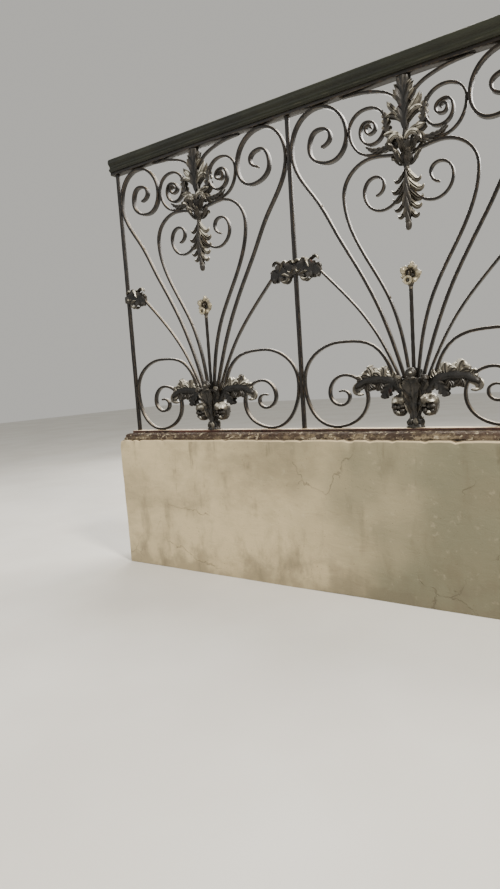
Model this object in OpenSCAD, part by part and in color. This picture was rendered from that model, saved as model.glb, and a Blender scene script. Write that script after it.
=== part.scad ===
// Wrought iron balcony screen: three bays of forged scrollwork with cast acanthus leaves,
// between a flat bottom rail and a moulded handrail, standing on a plastered parapet.
// X runs along the screen, -Y is the outer face, and Z is up from the foot of the parapet.

/* [Layout] */
// Width of one bay, from divider centre to divider centre
bay_w = 830; // [780:10:1000]
// Height of the screen, from the top of the bottom rail to the top of the handrail
screen_h = 1152; // [1050:10:1400]
// Distance from the centre of an end bar to the end of the parapet
end_reach = 25; // [20:1:60]

/* [Parapet] */
// Height of the plastered parapet
parapet_h = 540; // [300:10:900]
// Thickness of the parapet, front to back
parapet_t = 200; // [180:5:300]
// Radius of the plaster along the top edges
arris_r = 6; // [2:1:15]
// Height of the mortar bed under the bottom rail
mortar_h = 22; // [12:1:40]
// Width of the mortar bed at its foot
mortar_w = 150; // [100:5:170]
// How far each side of the mortar bed leans in
mortar_slope = 14; // [5:1:20]

/* [Rails and bars] */
// Width of the bottom rail, front to back
rail_w = 40; // [30:1:60]
// Thickness of the bottom rail
rail_t = 10; // [6:1:16]
// Side of the square divider and end bars
divider_w = 14; // [10:1:20]
// Width of the flat bar under the handrail
under_w = 34; // [26:1:44]
// Thickness of the flat bar under the handrail
under_t = 12; // [8:1:16]
// Width of the handrail, front to back
handrail_w = 58; // [50:1:80]
// Height of the handrail
handrail_h = 54; // [46:1:70]
// Radius of the round edges of the handrail's cap
cap_r = 16; // [10:1:20]
// Depth of the groove under the handrail's cap
groove_d = 8; // [4:1:12]

/* [Scrollwork] */
// Depth of the scroll bars, front to back
bar_d = 16; // [11:1:18]
// Depth of the volutes and the pendant scrolls, front to back
volute_d = 14; // [9:1:16]
// Thickness of the tall scrolls and the low scrolls
scroll_t = 10; // [8:0.5:12]
// Thickness of the lyre stems
lyre_t = 9; // [7:0.5:11]
// Thickness of the spray stems and the rail braces
spray_t = 8; // [6:0.5:10]
// Thickness of the volutes and the pendant scrolls
volute_t = 8; // [6:0.5:9]
// Diameter of the round centre stem
centre_d = 9; // [7:0.5:12]
// Height of the centre stem above the bottom rail
stem_h = 460; // [420:5:500]
// Diameter of the flower on the centre stem
flower_d = 70; // [55:1:85]
// Number of petals on the flower
petals = 6; // [5:1:8]

/* [Castings] */
// Height of the base casting's cup
cup_h = 160; // [140:2:190]
// Radius of the base casting at its foot
foot_r = 20; // [17:1:26]
// Radius of the buds beside the base casting
bud_r = 25; // [20:1:28]
// Half the width of the leaves that arch from the base casting
arch_half = 27; // [18:1:32]
// Radius of the ball under the crown casting
ball_r = 22; // [18:1:26]
// Length of the pendant leaf, from the ball to its tip
pendant_l = 190; // [170:5:210]
// Half the width of the pendant leaf
pendant_half = 50; // [40:1:56]
// Thickness of the cast leaves
leaf_t = 4; // [3:0.5:6]
// Thickness of the pendant leaf in front of the scrolls that it takes, and behind them
leaf_skin = 2; // [1.5:0.5:5]

/* [Fits] */
// Clearance round each bar where it enters a casting
socket_gap = 0.3; // [0.2:0.05:0.6]
// Clearance where two pieces touch side by side
touch_gap = 0.3; // [0.2:0.05:0.6]

/* [Hidden] */
$fn = 48;
BAY_NAMES = ["left", "middle", "right"];
BAY_PARTS = ["base_casting", "centre_stem", "flower", "lyre_stems", "tall_scrolls", "spray_stems",
    "low_scrolls", "volutes", "pendant_scrolls", "rail_braces", "crown_casting", "pendant_leaf"];
FRAME_PARTS = ["parapet", "mortar_bed", "bottom_rail", "under_rail", "handrail", "end_bars",
    "divider_bars", "divider_leaves"];

bays = len(BAY_NAMES);
total_l = bays * bay_w + 2 * end_reach;
rail_top = parapet_h + mortar_h + rail_t;
field_h = screen_h - handrail_h - under_t;
bar_edge = bay_w / 2 - divider_w / 2;

// Samples in each piece of a bar's curve, and sides of the round parts of the castings
bar_steps = 8;
cast_fn = 10;
bead_fn = 4;

// Where the bars of a bay touch each other
volute_side = [0.2245 * bay_w, 0.895 * field_h];
volute_foot = [0.131 * bay_w, 0.812 * field_h];

// Depth of the ball's foot, which the pendant leaf hangs from
ball_foot = 16;

// Height of the crown casting's cup, of the leaves on the dividers and of the flower's centre
crown_z = 0.79 * field_h;
divider_leaf_z = 0.52 * field_h;
flower_z = stem_h + 0.45 * flower_d;

// Curves: a knot is [x, z, heading in degrees], and the curve runs through each one that way
function unit(angle) = [cos(angle), sin(angle)];
function turned(angle) = angle - 360 * round(angle / 360);
function handle(chord, lean) = chord / (3 * pow(cos(lean / 2), 2));
function at(u, v, heading) = [u * bay_w, v * field_h, heading];

// The point and the direction of a cubic curve at the share t of its way
function cubic(a, b, c, d, t) =
    let (s = 1 - t)
    s * s * s * a + 3 * s * s * t * b + 3 * s * t * t * c + t * t * t * d;
function slope(a, b, c, d, t) =
    let (s = 1 - t)
    s * s * (b - a) + 2 * s * t * (c - b) + t * t * (d - c);

// The sample, a point and its direction, at the share t of the way from one knot to the next
function sample(from, to, t) =
    let (
        a = [from.x, from.y],
        d = [to.x, to.y],
        chord = norm(d - a),
        bearing = atan2(d.y - a.y, d.x - a.x),
        b = a + handle(chord, turned(from[2] - bearing)) * unit(from[2]),
        c = d - handle(chord, turned(to[2] - bearing)) * unit(to[2]),
        way = slope(a, b, c, d, t)
    )
    [cubic(a, b, c, d, t), way / norm(way)];

// All samples of a curve, where each piece leaves its last one to the next piece
function curve(knots, steps) =
    let (last = len(knots) - 2)
    [for (k = [0 : last], i = [0 : steps - (k < last ? 1 : 0)]) sample(knots[k], knots[k + 1], i / steps)];

function left_of(s) = [-s[1].y, s[1].x];

module standing(depth) {
    rotate([90, 0, 0]) linear_extrude(height = depth, center = true) children();
}

module pair() {
    children();
    mirror([1, 0, 0]) children();
}

// The same at the outer face and at the inner face
module both_faces() {
    children();
    mirror([0, 1, 0]) children();
}

// A forged bar along a curve, square at its start and round at its end
module bar(knots, thick, depth, grow = 0) {
    half = thick / 2 + grow;
    samples = curve(knots, bar_steps);
    tip = samples[len(samples) - 1];
    heading = atan2(tip[1].y, tip[1].x);
    standing(depth + 2 * grow) polygon(concat(
        [for (s = samples) s[0] + half * left_of(s)],
        [for (a = [60 : -30 : -60]) tip[0] + half * unit(heading + a)],
        [for (i = [len(samples) - 1 : -1 : 0]) samples[i][0] - half * left_of(samples[i])]
    ));
}

// A closed skin over loops of points, from the first loop to the last
module skin(loops) {
    n = len(loops[0]);
    last = len(loops) - 1;
    walls = [for (i = [0 : last - 1], j = [0 : n - 1])
        let (a = i * n + j, b = i * n + (j + 1) % n)
        each [[a, b, b + n], [a, b + n, a + n]]];
    first_cap = [for (j = [1 : n - 2]) [0, j + 1, j]];
    last_cap = [for (j = [1 : n - 2]) [last * n, last * n + j, last * n + j + 1]];
    polyhedron([for (loop = loops, p = loop) p], concat(walls, first_cap, last_cap));
}

// Half width of a leaf at the share s of its length: it swells, is cut into lobes, and ends in a tip
function lobed(s, half, lobes) =
    let (f = s * lobes - floor(s * lobes), swell = pow(sin(180 * pow(s, 0.8)), 0.7))
    1.5 + (half - 1.5) * swell * (0.62 + 0.38 * sin(180 * pow(f, 0.6)));

// A cast leaf along a curve in the XZ plane. At a lean of 0 its width lies along Y, and at 90 it lies
// in that plane. From the rib along its middle its edges rise by the share lift of its half width.
module leaf(knots, half, lobes, steps, lean = 0, lift = 0.3) {
    samples = curve(knots, steps);
    last = len(samples) - 1;
    skin([for (i = [0 : last])
        let (
            s = samples[i],
            n = [left_of(s).x, 0, left_of(s).y],
            side = cos(lean) * [0, 1, 0] + sin(lean) * n,
            up = cos(lean) * n - sin(lean) * [0, 1, 0],
            w = lobed(i / last, half, lobes)
        )
        [for (c = [[-1, 0.2], [0, 0.5], [1, 0.2], [1, -0.5], [0, -0.5], [-1, -0.5]])
            [s[0].x, 0, s[0].y] + c[0] * w * side + (abs(c[0]) * lift * w + c[1] * leaf_t) * up]]);
}

// A rounded lobe from its root to its tip
module lobe(root, root_r, tip, tip_r, sides = bead_fn) {
    hull() {
        translate(root) sphere(r = root_r, $fn = sides);
        translate(tip) sphere(r = tip_r, $fn = sides);
    }
}

// The bars of one bay, as knots measured from its centre line and from the top of the bottom rail
lyre_knots = [at(0.0145, 0.125, 85), at(0.0875, 0.392, 67), at(0.2, 0.554, 63), at(0.26, 0.711, 90),
    [volute_foot.x, volute_foot.y - (lyre_t + volute_t) / 2 - touch_gap, 180], at(0.03, 0.793, 188)];

tall_knots = [at(0.0285, 0.125, 75), at(0.125, 0.3535, 68), at(0.281, 0.583, 60), at(0.3625, 0.7, 59),
    [bar_edge - scroll_t / 2 - touch_gap, 0.887 * field_h, 90],
    [0.3625 * bay_w, field_h - scroll_t / 2 - touch_gap, 180],
    [volute_side.x + (scroll_t + volute_t) / 2 + touch_gap, volute_side.y, 270],
    at(0.3125, 0.8247, 0), at(0.4025, 0.879, 90), at(0.356, 0.9294, 180), at(0.306, 0.9026, 270),
    at(0.344, 0.8759, 350)];

spray_knots = [at(0.0435, 0.125, 69), at(0.1875, 0.3393, 54), at(0.388, 0.5125, 47)];

low_knots = [at(0.06, 0.105, 70), at(0.1375, 0.2388, 48), at(0.306, 0.2751, 0),
    [bar_edge - scroll_t / 2 - touch_gap, 0.1529 * field_h, 270],
    [0.3375 * bay_w, scroll_t / 2 + touch_gap, 180],
    at(0.194, 0.0955, 90), at(0.294, 0.1701, 0), at(0.365, 0.1146, 270), at(0.3125, 0.0745, 180),
    at(0.275, 0.1001, 90), at(0.319, 0.1192, 340)];

volute_knots = [at(0.03, 0.831, 320), [volute_foot.x, volute_foot.y, 0], [volute_side.x, volute_side.y, 90],
    at(0.15, 0.9458, 180), at(0.075, 0.8942, 270), at(0.13, 0.8407, 0), at(0.178, 0.8789, 90),
    at(0.15, 0.9072, 180), at(0.115, 0.8866, 270), at(0.14, 0.8713, 0), at(0.156, 0.8866, 90)];

pendant_knots = [at(0.012, 0.695, 305), at(0.1, 0.6481, 0), at(0.172, 0.707, 90), at(0.125, 0.7475, 180),
    at(0.09, 0.7223, 270), at(0.12, 0.6932, 350)];

brace_knots = [at(0.02, 0.932, 70), at(0.1375, 0.9893, 14),
    [0.25 * bay_w, field_h - spray_t / 2 - touch_gap, 0]];

// The bars that rise from the base casting, and those that meet at the crown casting
module lower_bars(grow = 0) {
    bar(lyre_knots, lyre_t, bar_d, grow);
    bar(tall_knots, scroll_t, bar_d, grow);
    bar(spray_knots, spray_t, bar_d, grow);
    bar(low_knots, scroll_t, bar_d, grow);
}

module upper_bars(grow = 0) {
    bar(lyre_knots, lyre_t, bar_d, grow);
    bar(volute_knots, volute_t, volute_d, grow);
    bar(brace_knots, spray_t, bar_d, grow);
}

module lyre_stems() {
    color("dimgray") pair() bar(lyre_knots, lyre_t, bar_d);
}

module tall_scrolls() {
    color("dimgray") pair() bar(tall_knots, scroll_t, bar_d);
}

module spray_stems() {
    color("dimgray") pair() bar(spray_knots, spray_t, bar_d);
}

module low_scrolls() {
    color("dimgray") pair() bar(low_knots, scroll_t, bar_d);
}

module volutes() {
    color("dimgray") pair() bar(volute_knots, volute_t, volute_d);
}

module pendant_scrolls() {
    color("dimgray") pair() bar(pendant_knots, volute_t, volute_d);
}

module rail_braces() {
    color("dimgray") pair() bar(brace_knots, spray_t, bar_d);
}

// The round stem stands in a socket of the base casting and ends in a socket of the flower
socket_z = cup_h - 40;

module centre_stem() {
    color("dimgray") translate([0, 0, socket_z]) cylinder(d = centre_d, h = stem_h - socket_z);
}

module stem_socket() {
    translate([0, 0, socket_z - socket_gap])
        cylinder(d = centre_d + 2 * socket_gap, h = stem_h - socket_z + 2 * socket_gap);
}

// A rosette with a pierced centre, and the calyx that holds it on its stem
module flower() {
    petal_r = 0.21 * flower_d;
    ring = flower_d / 2 - petal_r;
    hole_r = 0.05 * flower_d;
    color("silver") difference() {
        union() {
            standing(12) for (i = [0 : petals - 1])
                translate([0, flower_z] + ring * unit(90 + i * 360 / petals)) circle(r = petal_r);
            standing(8) translate([0, flower_z]) circle(r = ring);
            translate([0, 0, stem_h - 14]) cylinder(d1 = centre_d + 5, d2 = centre_d + 9, h = 26);
        }
        standing(20) for (i = [0 : petals - 1])
            translate([0, flower_z] + 0.55 * ring * unit(90 + (i + 0.5) * 360 / petals)) circle(r = hole_r);
        stem_socket();
    }
}

// A ring of leaves round the Z axis, each turned to its own side
module ring_of_leaves(sides, knots, half, lobes, steps, lift = 0.3) {
    for (a = sides) rotate([0, 0, a]) leaf(knots, half, lobes, steps, 0, lift);
}

RING_SIDES = [-145, -90, -35, 35, 90, 145];

// The cup that the stems rise from: a core in a ring of tall leaves with curled tips, a leaf that
// arches to each side and clasps the low scroll, and a rolled bud on each side of the foot
cup_leaf_knots = [[foot_r - 6, 10, 84], [28, 0.6 * cup_h, 76], [58, cup_h + 6, 10], [56, cup_h - 14, -120]];
arch_leaf_knots = [[30, 88, 42], [104, 141, 22], [162, 149, -10], [206, 123, -88], [180, 106, -215]];

// A bud is a rolled leaf tip on a short neck, with the eye and the lip of the roll standing out on
// both faces
bud_x = 50;
bud_z = 63;

module bud() {
    lobe([bud_x, 0, bud_z + 0.55 * bud_r], bud_r, [bud_x, 0, bud_z - 0.55 * bud_r], bud_r, 8);
    lobe([foot_r - 6, 0, bud_z - 5], 0.4 * bud_r, [bud_x, 0, bud_z + 1], 0.6 * bud_r, 5);
    lobe([bud_x - 8, bud_r, bud_z], 0.4 * bud_r, [bud_x - 8, -bud_r, bud_z], 0.4 * bud_r, 6);
    lobe([bud_x + 3, 0.8 * bud_r, bud_z - bud_r], 9, [bud_x + 3, -0.8 * bud_r, bud_z - bud_r], 9, 6);
}

module base_casting() {
    color("gray") difference() {
        union() {
            scale([1, 0.8, 1]) rotate_extrude($fn = cast_fn) polygon([[0, 0], [foot_r, 0],
                [foot_r - 6, 14], [foot_r - 7, 0.42 * cup_h], [44, 0.94 * cup_h], [0, 0.94 * cup_h]]);
            scale([1, 0.65, 1]) {
                // wider and more curved than their neighbours, so that no two leaves cross edge on edge
                ring_of_leaves([-90, 90], cup_leaf_knots, 17, 1, 2, -0.24);
                ring_of_leaves([-145, -35, 35, 145], cup_leaf_knots, 15, 1, 2, -0.2);
            }
            pair() leaf(arch_leaf_knots, arch_half, 4, 3, 0, 1.3);
            pair() bud();
        }
        pair() lower_bars(socket_gap);
        stem_socket();
    }
}

// Ball, cup, stalk and palmette between the lyre and the handrail
crown_cup_knots = [[12, 14, 35], [36, 38, 25], [52, 24, -80]];
crown_side_knots = [[10, 34, 45], [50, 58, 0], [84, 42, -45]];
crown_fringe_knots = [[24, 44, 50], [52, 96, 82], [62, 160, 62]];
crown_blade_knots = [[6, 66, 75], [22, 116, 55], [38, 156, 70]];
crown_top_knots = [[4, 144, 80], [28, 190, 45], [52, 190, -30]];

module crown_casting() {
    top = field_h - touch_gap - crown_z;
    color("gray") difference() {
        translate([0, 0, crown_z]) {
            scale([1, 0.8, 1]) rotate_extrude($fn = cast_fn) polygon([[0, -ball_r - ball_foot],
                [9, -ball_r - ball_foot], [ball_r, -14], [16, 4], [30, 36], [11, 48], [9, 120], [13, 160],
                [22, top], [0, top]]);
            ring_of_leaves(RING_SIDES, crown_cup_knots, 13, 1, 2, -0.2);
            pair() {
                leaf(crown_side_knots, 16, 3, 3, 0, 0.6);
                leaf(crown_fringe_knots, 12, 3, 3, 90, 0);
                leaf(crown_blade_knots, 9, 1, 2, 90, 0);
                leaf(crown_top_knots, 14, 2, 2, 90, 0);
                both_faces() lobe([2, -8, 130], 7, [9, -14, 196], 8);
            }
        }
        pair() upper_bars(socket_gap);
        translate([-100, -100, field_h - touch_gap]) cube([200, 200, 100]);
    }
}

// Outline of the pendant leaf's blade on one side: five lobes that hang out and down from the rib
PENDANT_LOBES = 5;
lobe_step = 0.137 * pendant_l;
function pendant_side(reach) = [for (i = [0 : PENDANT_LOBES - 1])
    let (z = -0.095 * pendant_l - i * lobe_step, r = reach * (0.9 - 0.03 * pow(i - 2, 2)))
    each [[0.3 * r, z], [0.62 * r, z - 0.3 * lobe_step], [0.88 * r, z - 0.7 * lobe_step],
        [r, z - 1.2 * lobe_step], [0.78 * r, z - 1.05 * lobe_step], [0.52 * r, z - 0.95 * lobe_step]]];

module pendant_blade(reach, depth) {
    side = pendant_side(reach);
    foot = [0, 0.1 * pendant_l - pendant_l];
    standing(depth) polygon(concat([[0, -0.04 * pendant_l]], side, [foot],
        [for (i = [len(side) - 1 : -1 : 0]) [-side[i].x, side[i].y]]));
}

// A leaf that hangs from the crown casting's ball and takes the pendant scrolls: a wide blade,
// a narrower and thicker one and a turned core with a bead at its end
module pendant_leaf() {
    core_r = 0.2 * pendant_half;
    bead_r = 0.22 * pendant_half;
    blade_d = volute_d + 2 * (socket_gap + leaf_skin);
    color("gray") difference() {
        translate([0, 0, crown_z - ball_r - ball_foot - touch_gap]) {
            pendant_blade(pendant_half, blade_d);
            pendant_blade(0.6 * pendant_half, blade_d + 4);
            rotate_extrude() polygon(concat(
                [[0, 0], [0.8 * core_r, 0], [core_r, -3], [core_r, -10], [0.6 * core_r, -14],
                    [1.15 * core_r, -0.4 * pendant_l]],
                [for (a = [60 : -30 : -90]) [0, bead_r - pendant_l] + bead_r * unit(a)]
            ));
        }
        pair() bar(pendant_knots, volute_t, volute_d, socket_gap);
    }
}

// The frame that the bays stand in

module along(length) {
    translate([-length / 2, 0, 0]) rotate([90, 0, 90]) linear_extrude(height = length) children();
}

module parapet() {
    half = parapet_t / 2;
    color("tan") along(total_l) union() {
        translate([-half, 0]) square([parapet_t, parapet_h - arris_r]);
        translate([-half + arris_r, 0]) square([parapet_t - 2 * arris_r, parapet_h]);
        for (side = [-1, 1])
            translate([side * (half - arris_r), parapet_h - arris_r]) circle(r = arris_r);
    }
}

module mortar_bed() {
    half = mortar_w / 2;
    color("rosybrown") translate([0, 0, parapet_h]) along(total_l) polygon([[-half, 0], [half, 0],
        [half - mortar_slope, mortar_h], [mortar_slope - half, mortar_h]]);
}

module bottom_rail() {
    color("saddlebrown") translate([-total_l / 2, -rail_w / 2, rail_top - rail_t])
        cube([total_l, rail_w, rail_t]);
}

module under_rail() {
    color("dimgray") translate([-total_l / 2, -under_w / 2, rail_top + field_h])
        cube([total_l, under_w, under_t]);
}

// Moulded section: a foot with a bead along each side, a groove, and a cap with round edges
module handrail() {
    half = handrail_w / 2;
    bead_r = 5;
    color("darkslategray") translate([0, 0, rail_top + field_h + under_t]) along(total_l) union() {
        translate([groove_d - half, 0]) square([handrail_w - 2 * groove_d, handrail_h - cap_r]);
        translate([cap_r - half, handrail_h - 2 * cap_r]) square([handrail_w - 2 * cap_r, 2 * cap_r]);
        for (side = [-1, 1]) {
            translate([side * (half - cap_r), handrail_h - cap_r]) circle(r = cap_r);
            translate([side * (half - groove_d), bead_r + 3]) circle(r = bead_r);
        }
    }
}

module upright(x) {
    translate([x - divider_w / 2, -divider_w / 2, rail_top])
        cube([divider_w, divider_w, field_h - touch_gap]);
}

module end_bars() {
    color("dimgray") for (side = [-1, 1]) upright(side * bays * bay_w / 2);
}

module divider_bars() {
    color("dimgray") for (i = [1 : bays - 1]) upright((i - bays / 2) * bay_w);
}

// Two lobed leaves on a core, above and below the end of the spray stem
upper_leaf_knots = [[4, 14, 30], [50, 34, 12], [104, 20, -40]];
lower_leaf_knots = [[4, -8, -20], [52, -34, -18], [92, -36, 20]];

// A square block round the divider's axis
module block(side, z, height) {
    translate([-side / 2, -side / 2, z]) cube([side, side, height]);
}

module divider_leaf(x, sides) {
    collar_w = divider_w + 10;
    translate([x, 0, rail_top]) difference() {
        translate([0, 0, divider_leaf_z]) {
            block(collar_w, -12, 28);
            for (side = sides) scale([side, 1, 1]) {
                lobe([0, 0, 2], 15, [50, 0, 2], 14);
                lobe([50, 0, 2], 14, [104, 0, -10], 10);
                leaf(upper_leaf_knots, 22, 2, 2, 0, -0.4);
                leaf(lower_leaf_knots, 20, 2, 2, 0, 0.4);
            }
        }
        block(divider_w + 2 * socket_gap, 0, field_h);
        for (side = sides)
            translate([side * bay_w / 2, 0, 0]) pair() bar(spray_knots, spray_t, bar_d, socket_gap);
    }
}

module divider_leaves() {
    color("gray") union() {
        for (i = [1 : bays - 1]) divider_leaf((i - bays / 2) * bay_w, [-1, 1]);
        divider_leaf(-bays * bay_w / 2, [1]);
        divider_leaf(bays * bay_w / 2, [-1]);
    }
}

module bay_part(part) {
    if (part == "base_casting") base_casting();
    if (part == "centre_stem") centre_stem();
    if (part == "flower") flower();
    if (part == "lyre_stems") lyre_stems();
    if (part == "tall_scrolls") tall_scrolls();
    if (part == "spray_stems") spray_stems();
    if (part == "low_scrolls") low_scrolls();
    if (part == "volutes") volutes();
    if (part == "pendant_scrolls") pendant_scrolls();
    if (part == "rail_braces") rail_braces();
    if (part == "crown_casting") crown_casting();
    if (part == "pendant_leaf") pendant_leaf();
}

parapet();
mortar_bed();
bottom_rail();
under_rail();
handrail();
end_bars();
divider_bars();
divider_leaves();
for (i = [0 : bays - 1], part = BAY_PARTS)
    translate([(i - (bays - 1) / 2) * bay_w, 0, rail_top]) bay_part(part);
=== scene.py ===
import math
import random

import bmesh
import bpy
import numpy as np
from mathutils import Matrix, Vector, noise


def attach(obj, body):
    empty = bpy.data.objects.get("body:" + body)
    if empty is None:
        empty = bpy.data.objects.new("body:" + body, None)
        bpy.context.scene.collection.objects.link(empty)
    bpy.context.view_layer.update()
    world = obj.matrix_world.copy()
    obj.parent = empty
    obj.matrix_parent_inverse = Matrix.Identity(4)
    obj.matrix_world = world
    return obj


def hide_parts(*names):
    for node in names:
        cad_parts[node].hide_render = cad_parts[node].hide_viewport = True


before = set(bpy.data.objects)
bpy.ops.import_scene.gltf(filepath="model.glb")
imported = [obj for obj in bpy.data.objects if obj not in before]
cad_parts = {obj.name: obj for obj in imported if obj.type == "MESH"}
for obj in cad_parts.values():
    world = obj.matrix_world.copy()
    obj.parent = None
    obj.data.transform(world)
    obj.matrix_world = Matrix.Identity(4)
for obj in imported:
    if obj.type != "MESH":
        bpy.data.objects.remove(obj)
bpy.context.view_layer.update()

# noise_vector starts from the time of day unless it is given a seed
noise.seed_set(11)

# Metres in a millimetre
MM = 0.001

# Sizes in millimetres, as in the CAD source
BAY_W, SCREEN_H = 830.0, 1152.0
PARAPET_H, PARAPET_T, ARRIS_R = 540.0, 200.0, 6.0
MORTAR_H, MORTAR_W = 22.0, 150.0
RAIL_W, RAIL_T = 40.0, 10.0
DIVIDER_W = 14.0
UNDER_W, UNDER_T = 34.0, 12.0
HANDRAIL_W, HANDRAIL_H, CAP_R, GROOVE_D = 58.0, 54.0, 16.0, 8.0
BAR_D, VOLUTE_D = 16.0, 14.0
SCROLL_T, LYRE_T, SPRAY_T, VOLUTE_T = 10.0, 9.0, 8.0, 8.0
STEM_H, FLOWER_D = 460.0, 70.0
TOUCH = 0.3
END_REACH = 25.0
TOTAL_L = 3 * BAY_W + 2 * END_REACH
RAIL_TOP = PARAPET_H + MORTAR_H + RAIL_T
FIELD_H = SCREEN_H - HANDRAIL_H - UNDER_T
BAR_EDGE = BAY_W / 2 - DIVIDER_W / 2
CROWN_Z = 0.79 * FIELD_H
DIVIDER_LEAF_Z = 0.52 * FIELD_H
FLOWER_Z = STEM_H + 0.45 * FLOWER_D
BAYS = {"left": -BAY_W, "middle": 0.0, "right": BAY_W}

# Sizes that only the visual model has: radii, and how far a bar wanders off its curve
CENTRE_STEM_R = 6.3
BAR_CORNER, SQUARE_CORNER, UNDER_CORNER = 2.3, 1.8, 2.0
BAR_WAVE = 0.5

# Where the bars of a bay touch each other and the frame
VOLUTE_SIDE = (0.2245 * BAY_W, 0.895 * FIELD_H)
VOLUTE_FOOT = (0.131 * BAY_W, 0.812 * FIELD_H)
TALL_SIDE_Z, TALL_TOP_X = 0.887 * FIELD_H, 0.3625 * BAY_W
LOW_SIDE_Z, LOW_FOOT_X = 0.1529 * FIELD_H, 0.3375 * BAY_W
BRACE_TOP_X = 0.25 * BAY_W
SCROLL_EDGE = BAR_EDGE - SCROLL_T / 2 - TOUCH


# Curves of the bars, as knots of (x, z, heading in degrees)

def at(u, v, heading):
    """A knot at a share of the bay's width and of the field's height."""
    return (u * BAY_W, v * FIELD_H, heading)


LYRE = [at(0.0145, 0.125, 85), at(0.0875, 0.392, 67), at(0.2, 0.554, 63), at(0.26, 0.711, 90),
        (VOLUTE_FOOT[0], VOLUTE_FOOT[1] - (LYRE_T + VOLUTE_T) / 2 - TOUCH, 180), at(0.03, 0.793, 188)]
TALL = [
    at(0.0285, 0.125, 75), at(0.125, 0.3535, 68), at(0.281, 0.583, 60), at(0.3625, 0.7, 59),
    (SCROLL_EDGE, TALL_SIDE_Z, 90), (TALL_TOP_X, FIELD_H - SCROLL_T / 2 - TOUCH, 180),
    (VOLUTE_SIDE[0] + (SCROLL_T + VOLUTE_T) / 2 + TOUCH, VOLUTE_SIDE[1], 270),
    at(0.3125, 0.8247, 0), at(0.4025, 0.879, 90), at(0.356, 0.9294, 180),
    at(0.306, 0.9026, 270), at(0.344, 0.8759, 350)]
SPRAY = [at(0.0435, 0.125, 69), at(0.1875, 0.3393, 54), at(0.388, 0.5125, 47)]
LOW = [
    at(0.06, 0.105, 70), at(0.1375, 0.2388, 48), at(0.306, 0.2751, 0),
    (SCROLL_EDGE, LOW_SIDE_Z, 270), (LOW_FOOT_X, SCROLL_T / 2 + TOUCH, 180),
    at(0.194, 0.0955, 90), at(0.294, 0.1701, 0), at(0.365, 0.1146, 270), at(0.3125, 0.0745, 180),
    at(0.275, 0.1001, 90), at(0.319, 0.1192, 340)]
VOLUTE = [
    at(0.03, 0.831, 320), (*VOLUTE_FOOT, 0), (*VOLUTE_SIDE, 90), at(0.15, 0.9458, 180),
    at(0.075, 0.8942, 270), at(0.13, 0.8407, 0), at(0.178, 0.8789, 90), at(0.15, 0.9072, 180),
    at(0.115, 0.8866, 270), at(0.14, 0.8713, 0), at(0.156, 0.8866, 90), at(0.144, 0.8965, 180),
    at(0.1335, 0.8885, 270)]
PENDANT = [at(0.012, 0.695, 305), at(0.1, 0.6481, 0), at(0.172, 0.707, 90), at(0.125, 0.7475, 180),
           at(0.09, 0.7223, 270), at(0.12, 0.6932, 350)]
BRACE = [at(0.02, 0.932, 70), at(0.1375, 0.9893, 14), (BRACE_TOP_X, FIELD_H - SPRAY_T / 2 - TOUCH, 0)]


def unit(angle):
    """The direction at an angle in degrees."""
    return np.array([math.cos(math.radians(angle)), math.sin(math.radians(angle))])


def turned(angle):
    """The same angle between -180 and 180 degrees."""
    return angle - 360 * round(angle / 360)


# Steps of a curve between two knots
FEWEST_STEPS, MOST_STEPS = 4, 20


def curve(knots, spacing=22.0, bend=7.5):
    """Points of the curve through the knots, and its direction at each. They are about a spacing in
    millimetres apart, and closer where the line would turn by more than bend degrees."""
    points, ways = [], []
    for k, (start, end) in enumerate(zip(knots, knots[1:])):
        a, d = np.array(start[:2], float), np.array(end[:2], float)
        chord = np.linalg.norm(d - a)
        bearing = math.degrees(math.atan2(d[1] - a[1], d[0] - a[0]))
        leans = turned(start[2] - bearing), turned(end[2] - bearing)
        reach = [chord / (3 * math.cos(math.radians(lean / 2)) ** 2) for lean in leans]
        b, c = a + reach[0] * unit(start[2]), d - reach[1] * unit(end[2])
        wanted = max(chord / spacing, (abs(leans[0]) + abs(leans[1])) / bend)
        steps = int(max(FEWEST_STEPS, min(MOST_STEPS, wanted)))
        final = k == len(knots) - 2
        t = np.linspace(0, 1, steps + 1)[:None if final else -1, None]
        s = 1 - t
        points.append(s ** 3 * a + 3 * s * s * t * b + 3 * s * t * t * c + t ** 3 * d)
        ways.append(s * s * (b - a) + 2 * s * t * (c - b) + t * t * (d - c))
    points, ways = np.concatenate(points), np.concatenate(ways)
    return points, ways / np.linalg.norm(ways, axis=1)[:, None]


def lengths(points):
    """How far each point lies along the line through all of them."""
    return np.concatenate([[0], np.cumsum(np.linalg.norm(np.diff(points, axis=0), axis=1))])


# Shapes: points in millimetres, faces, and two values for each point

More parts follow.
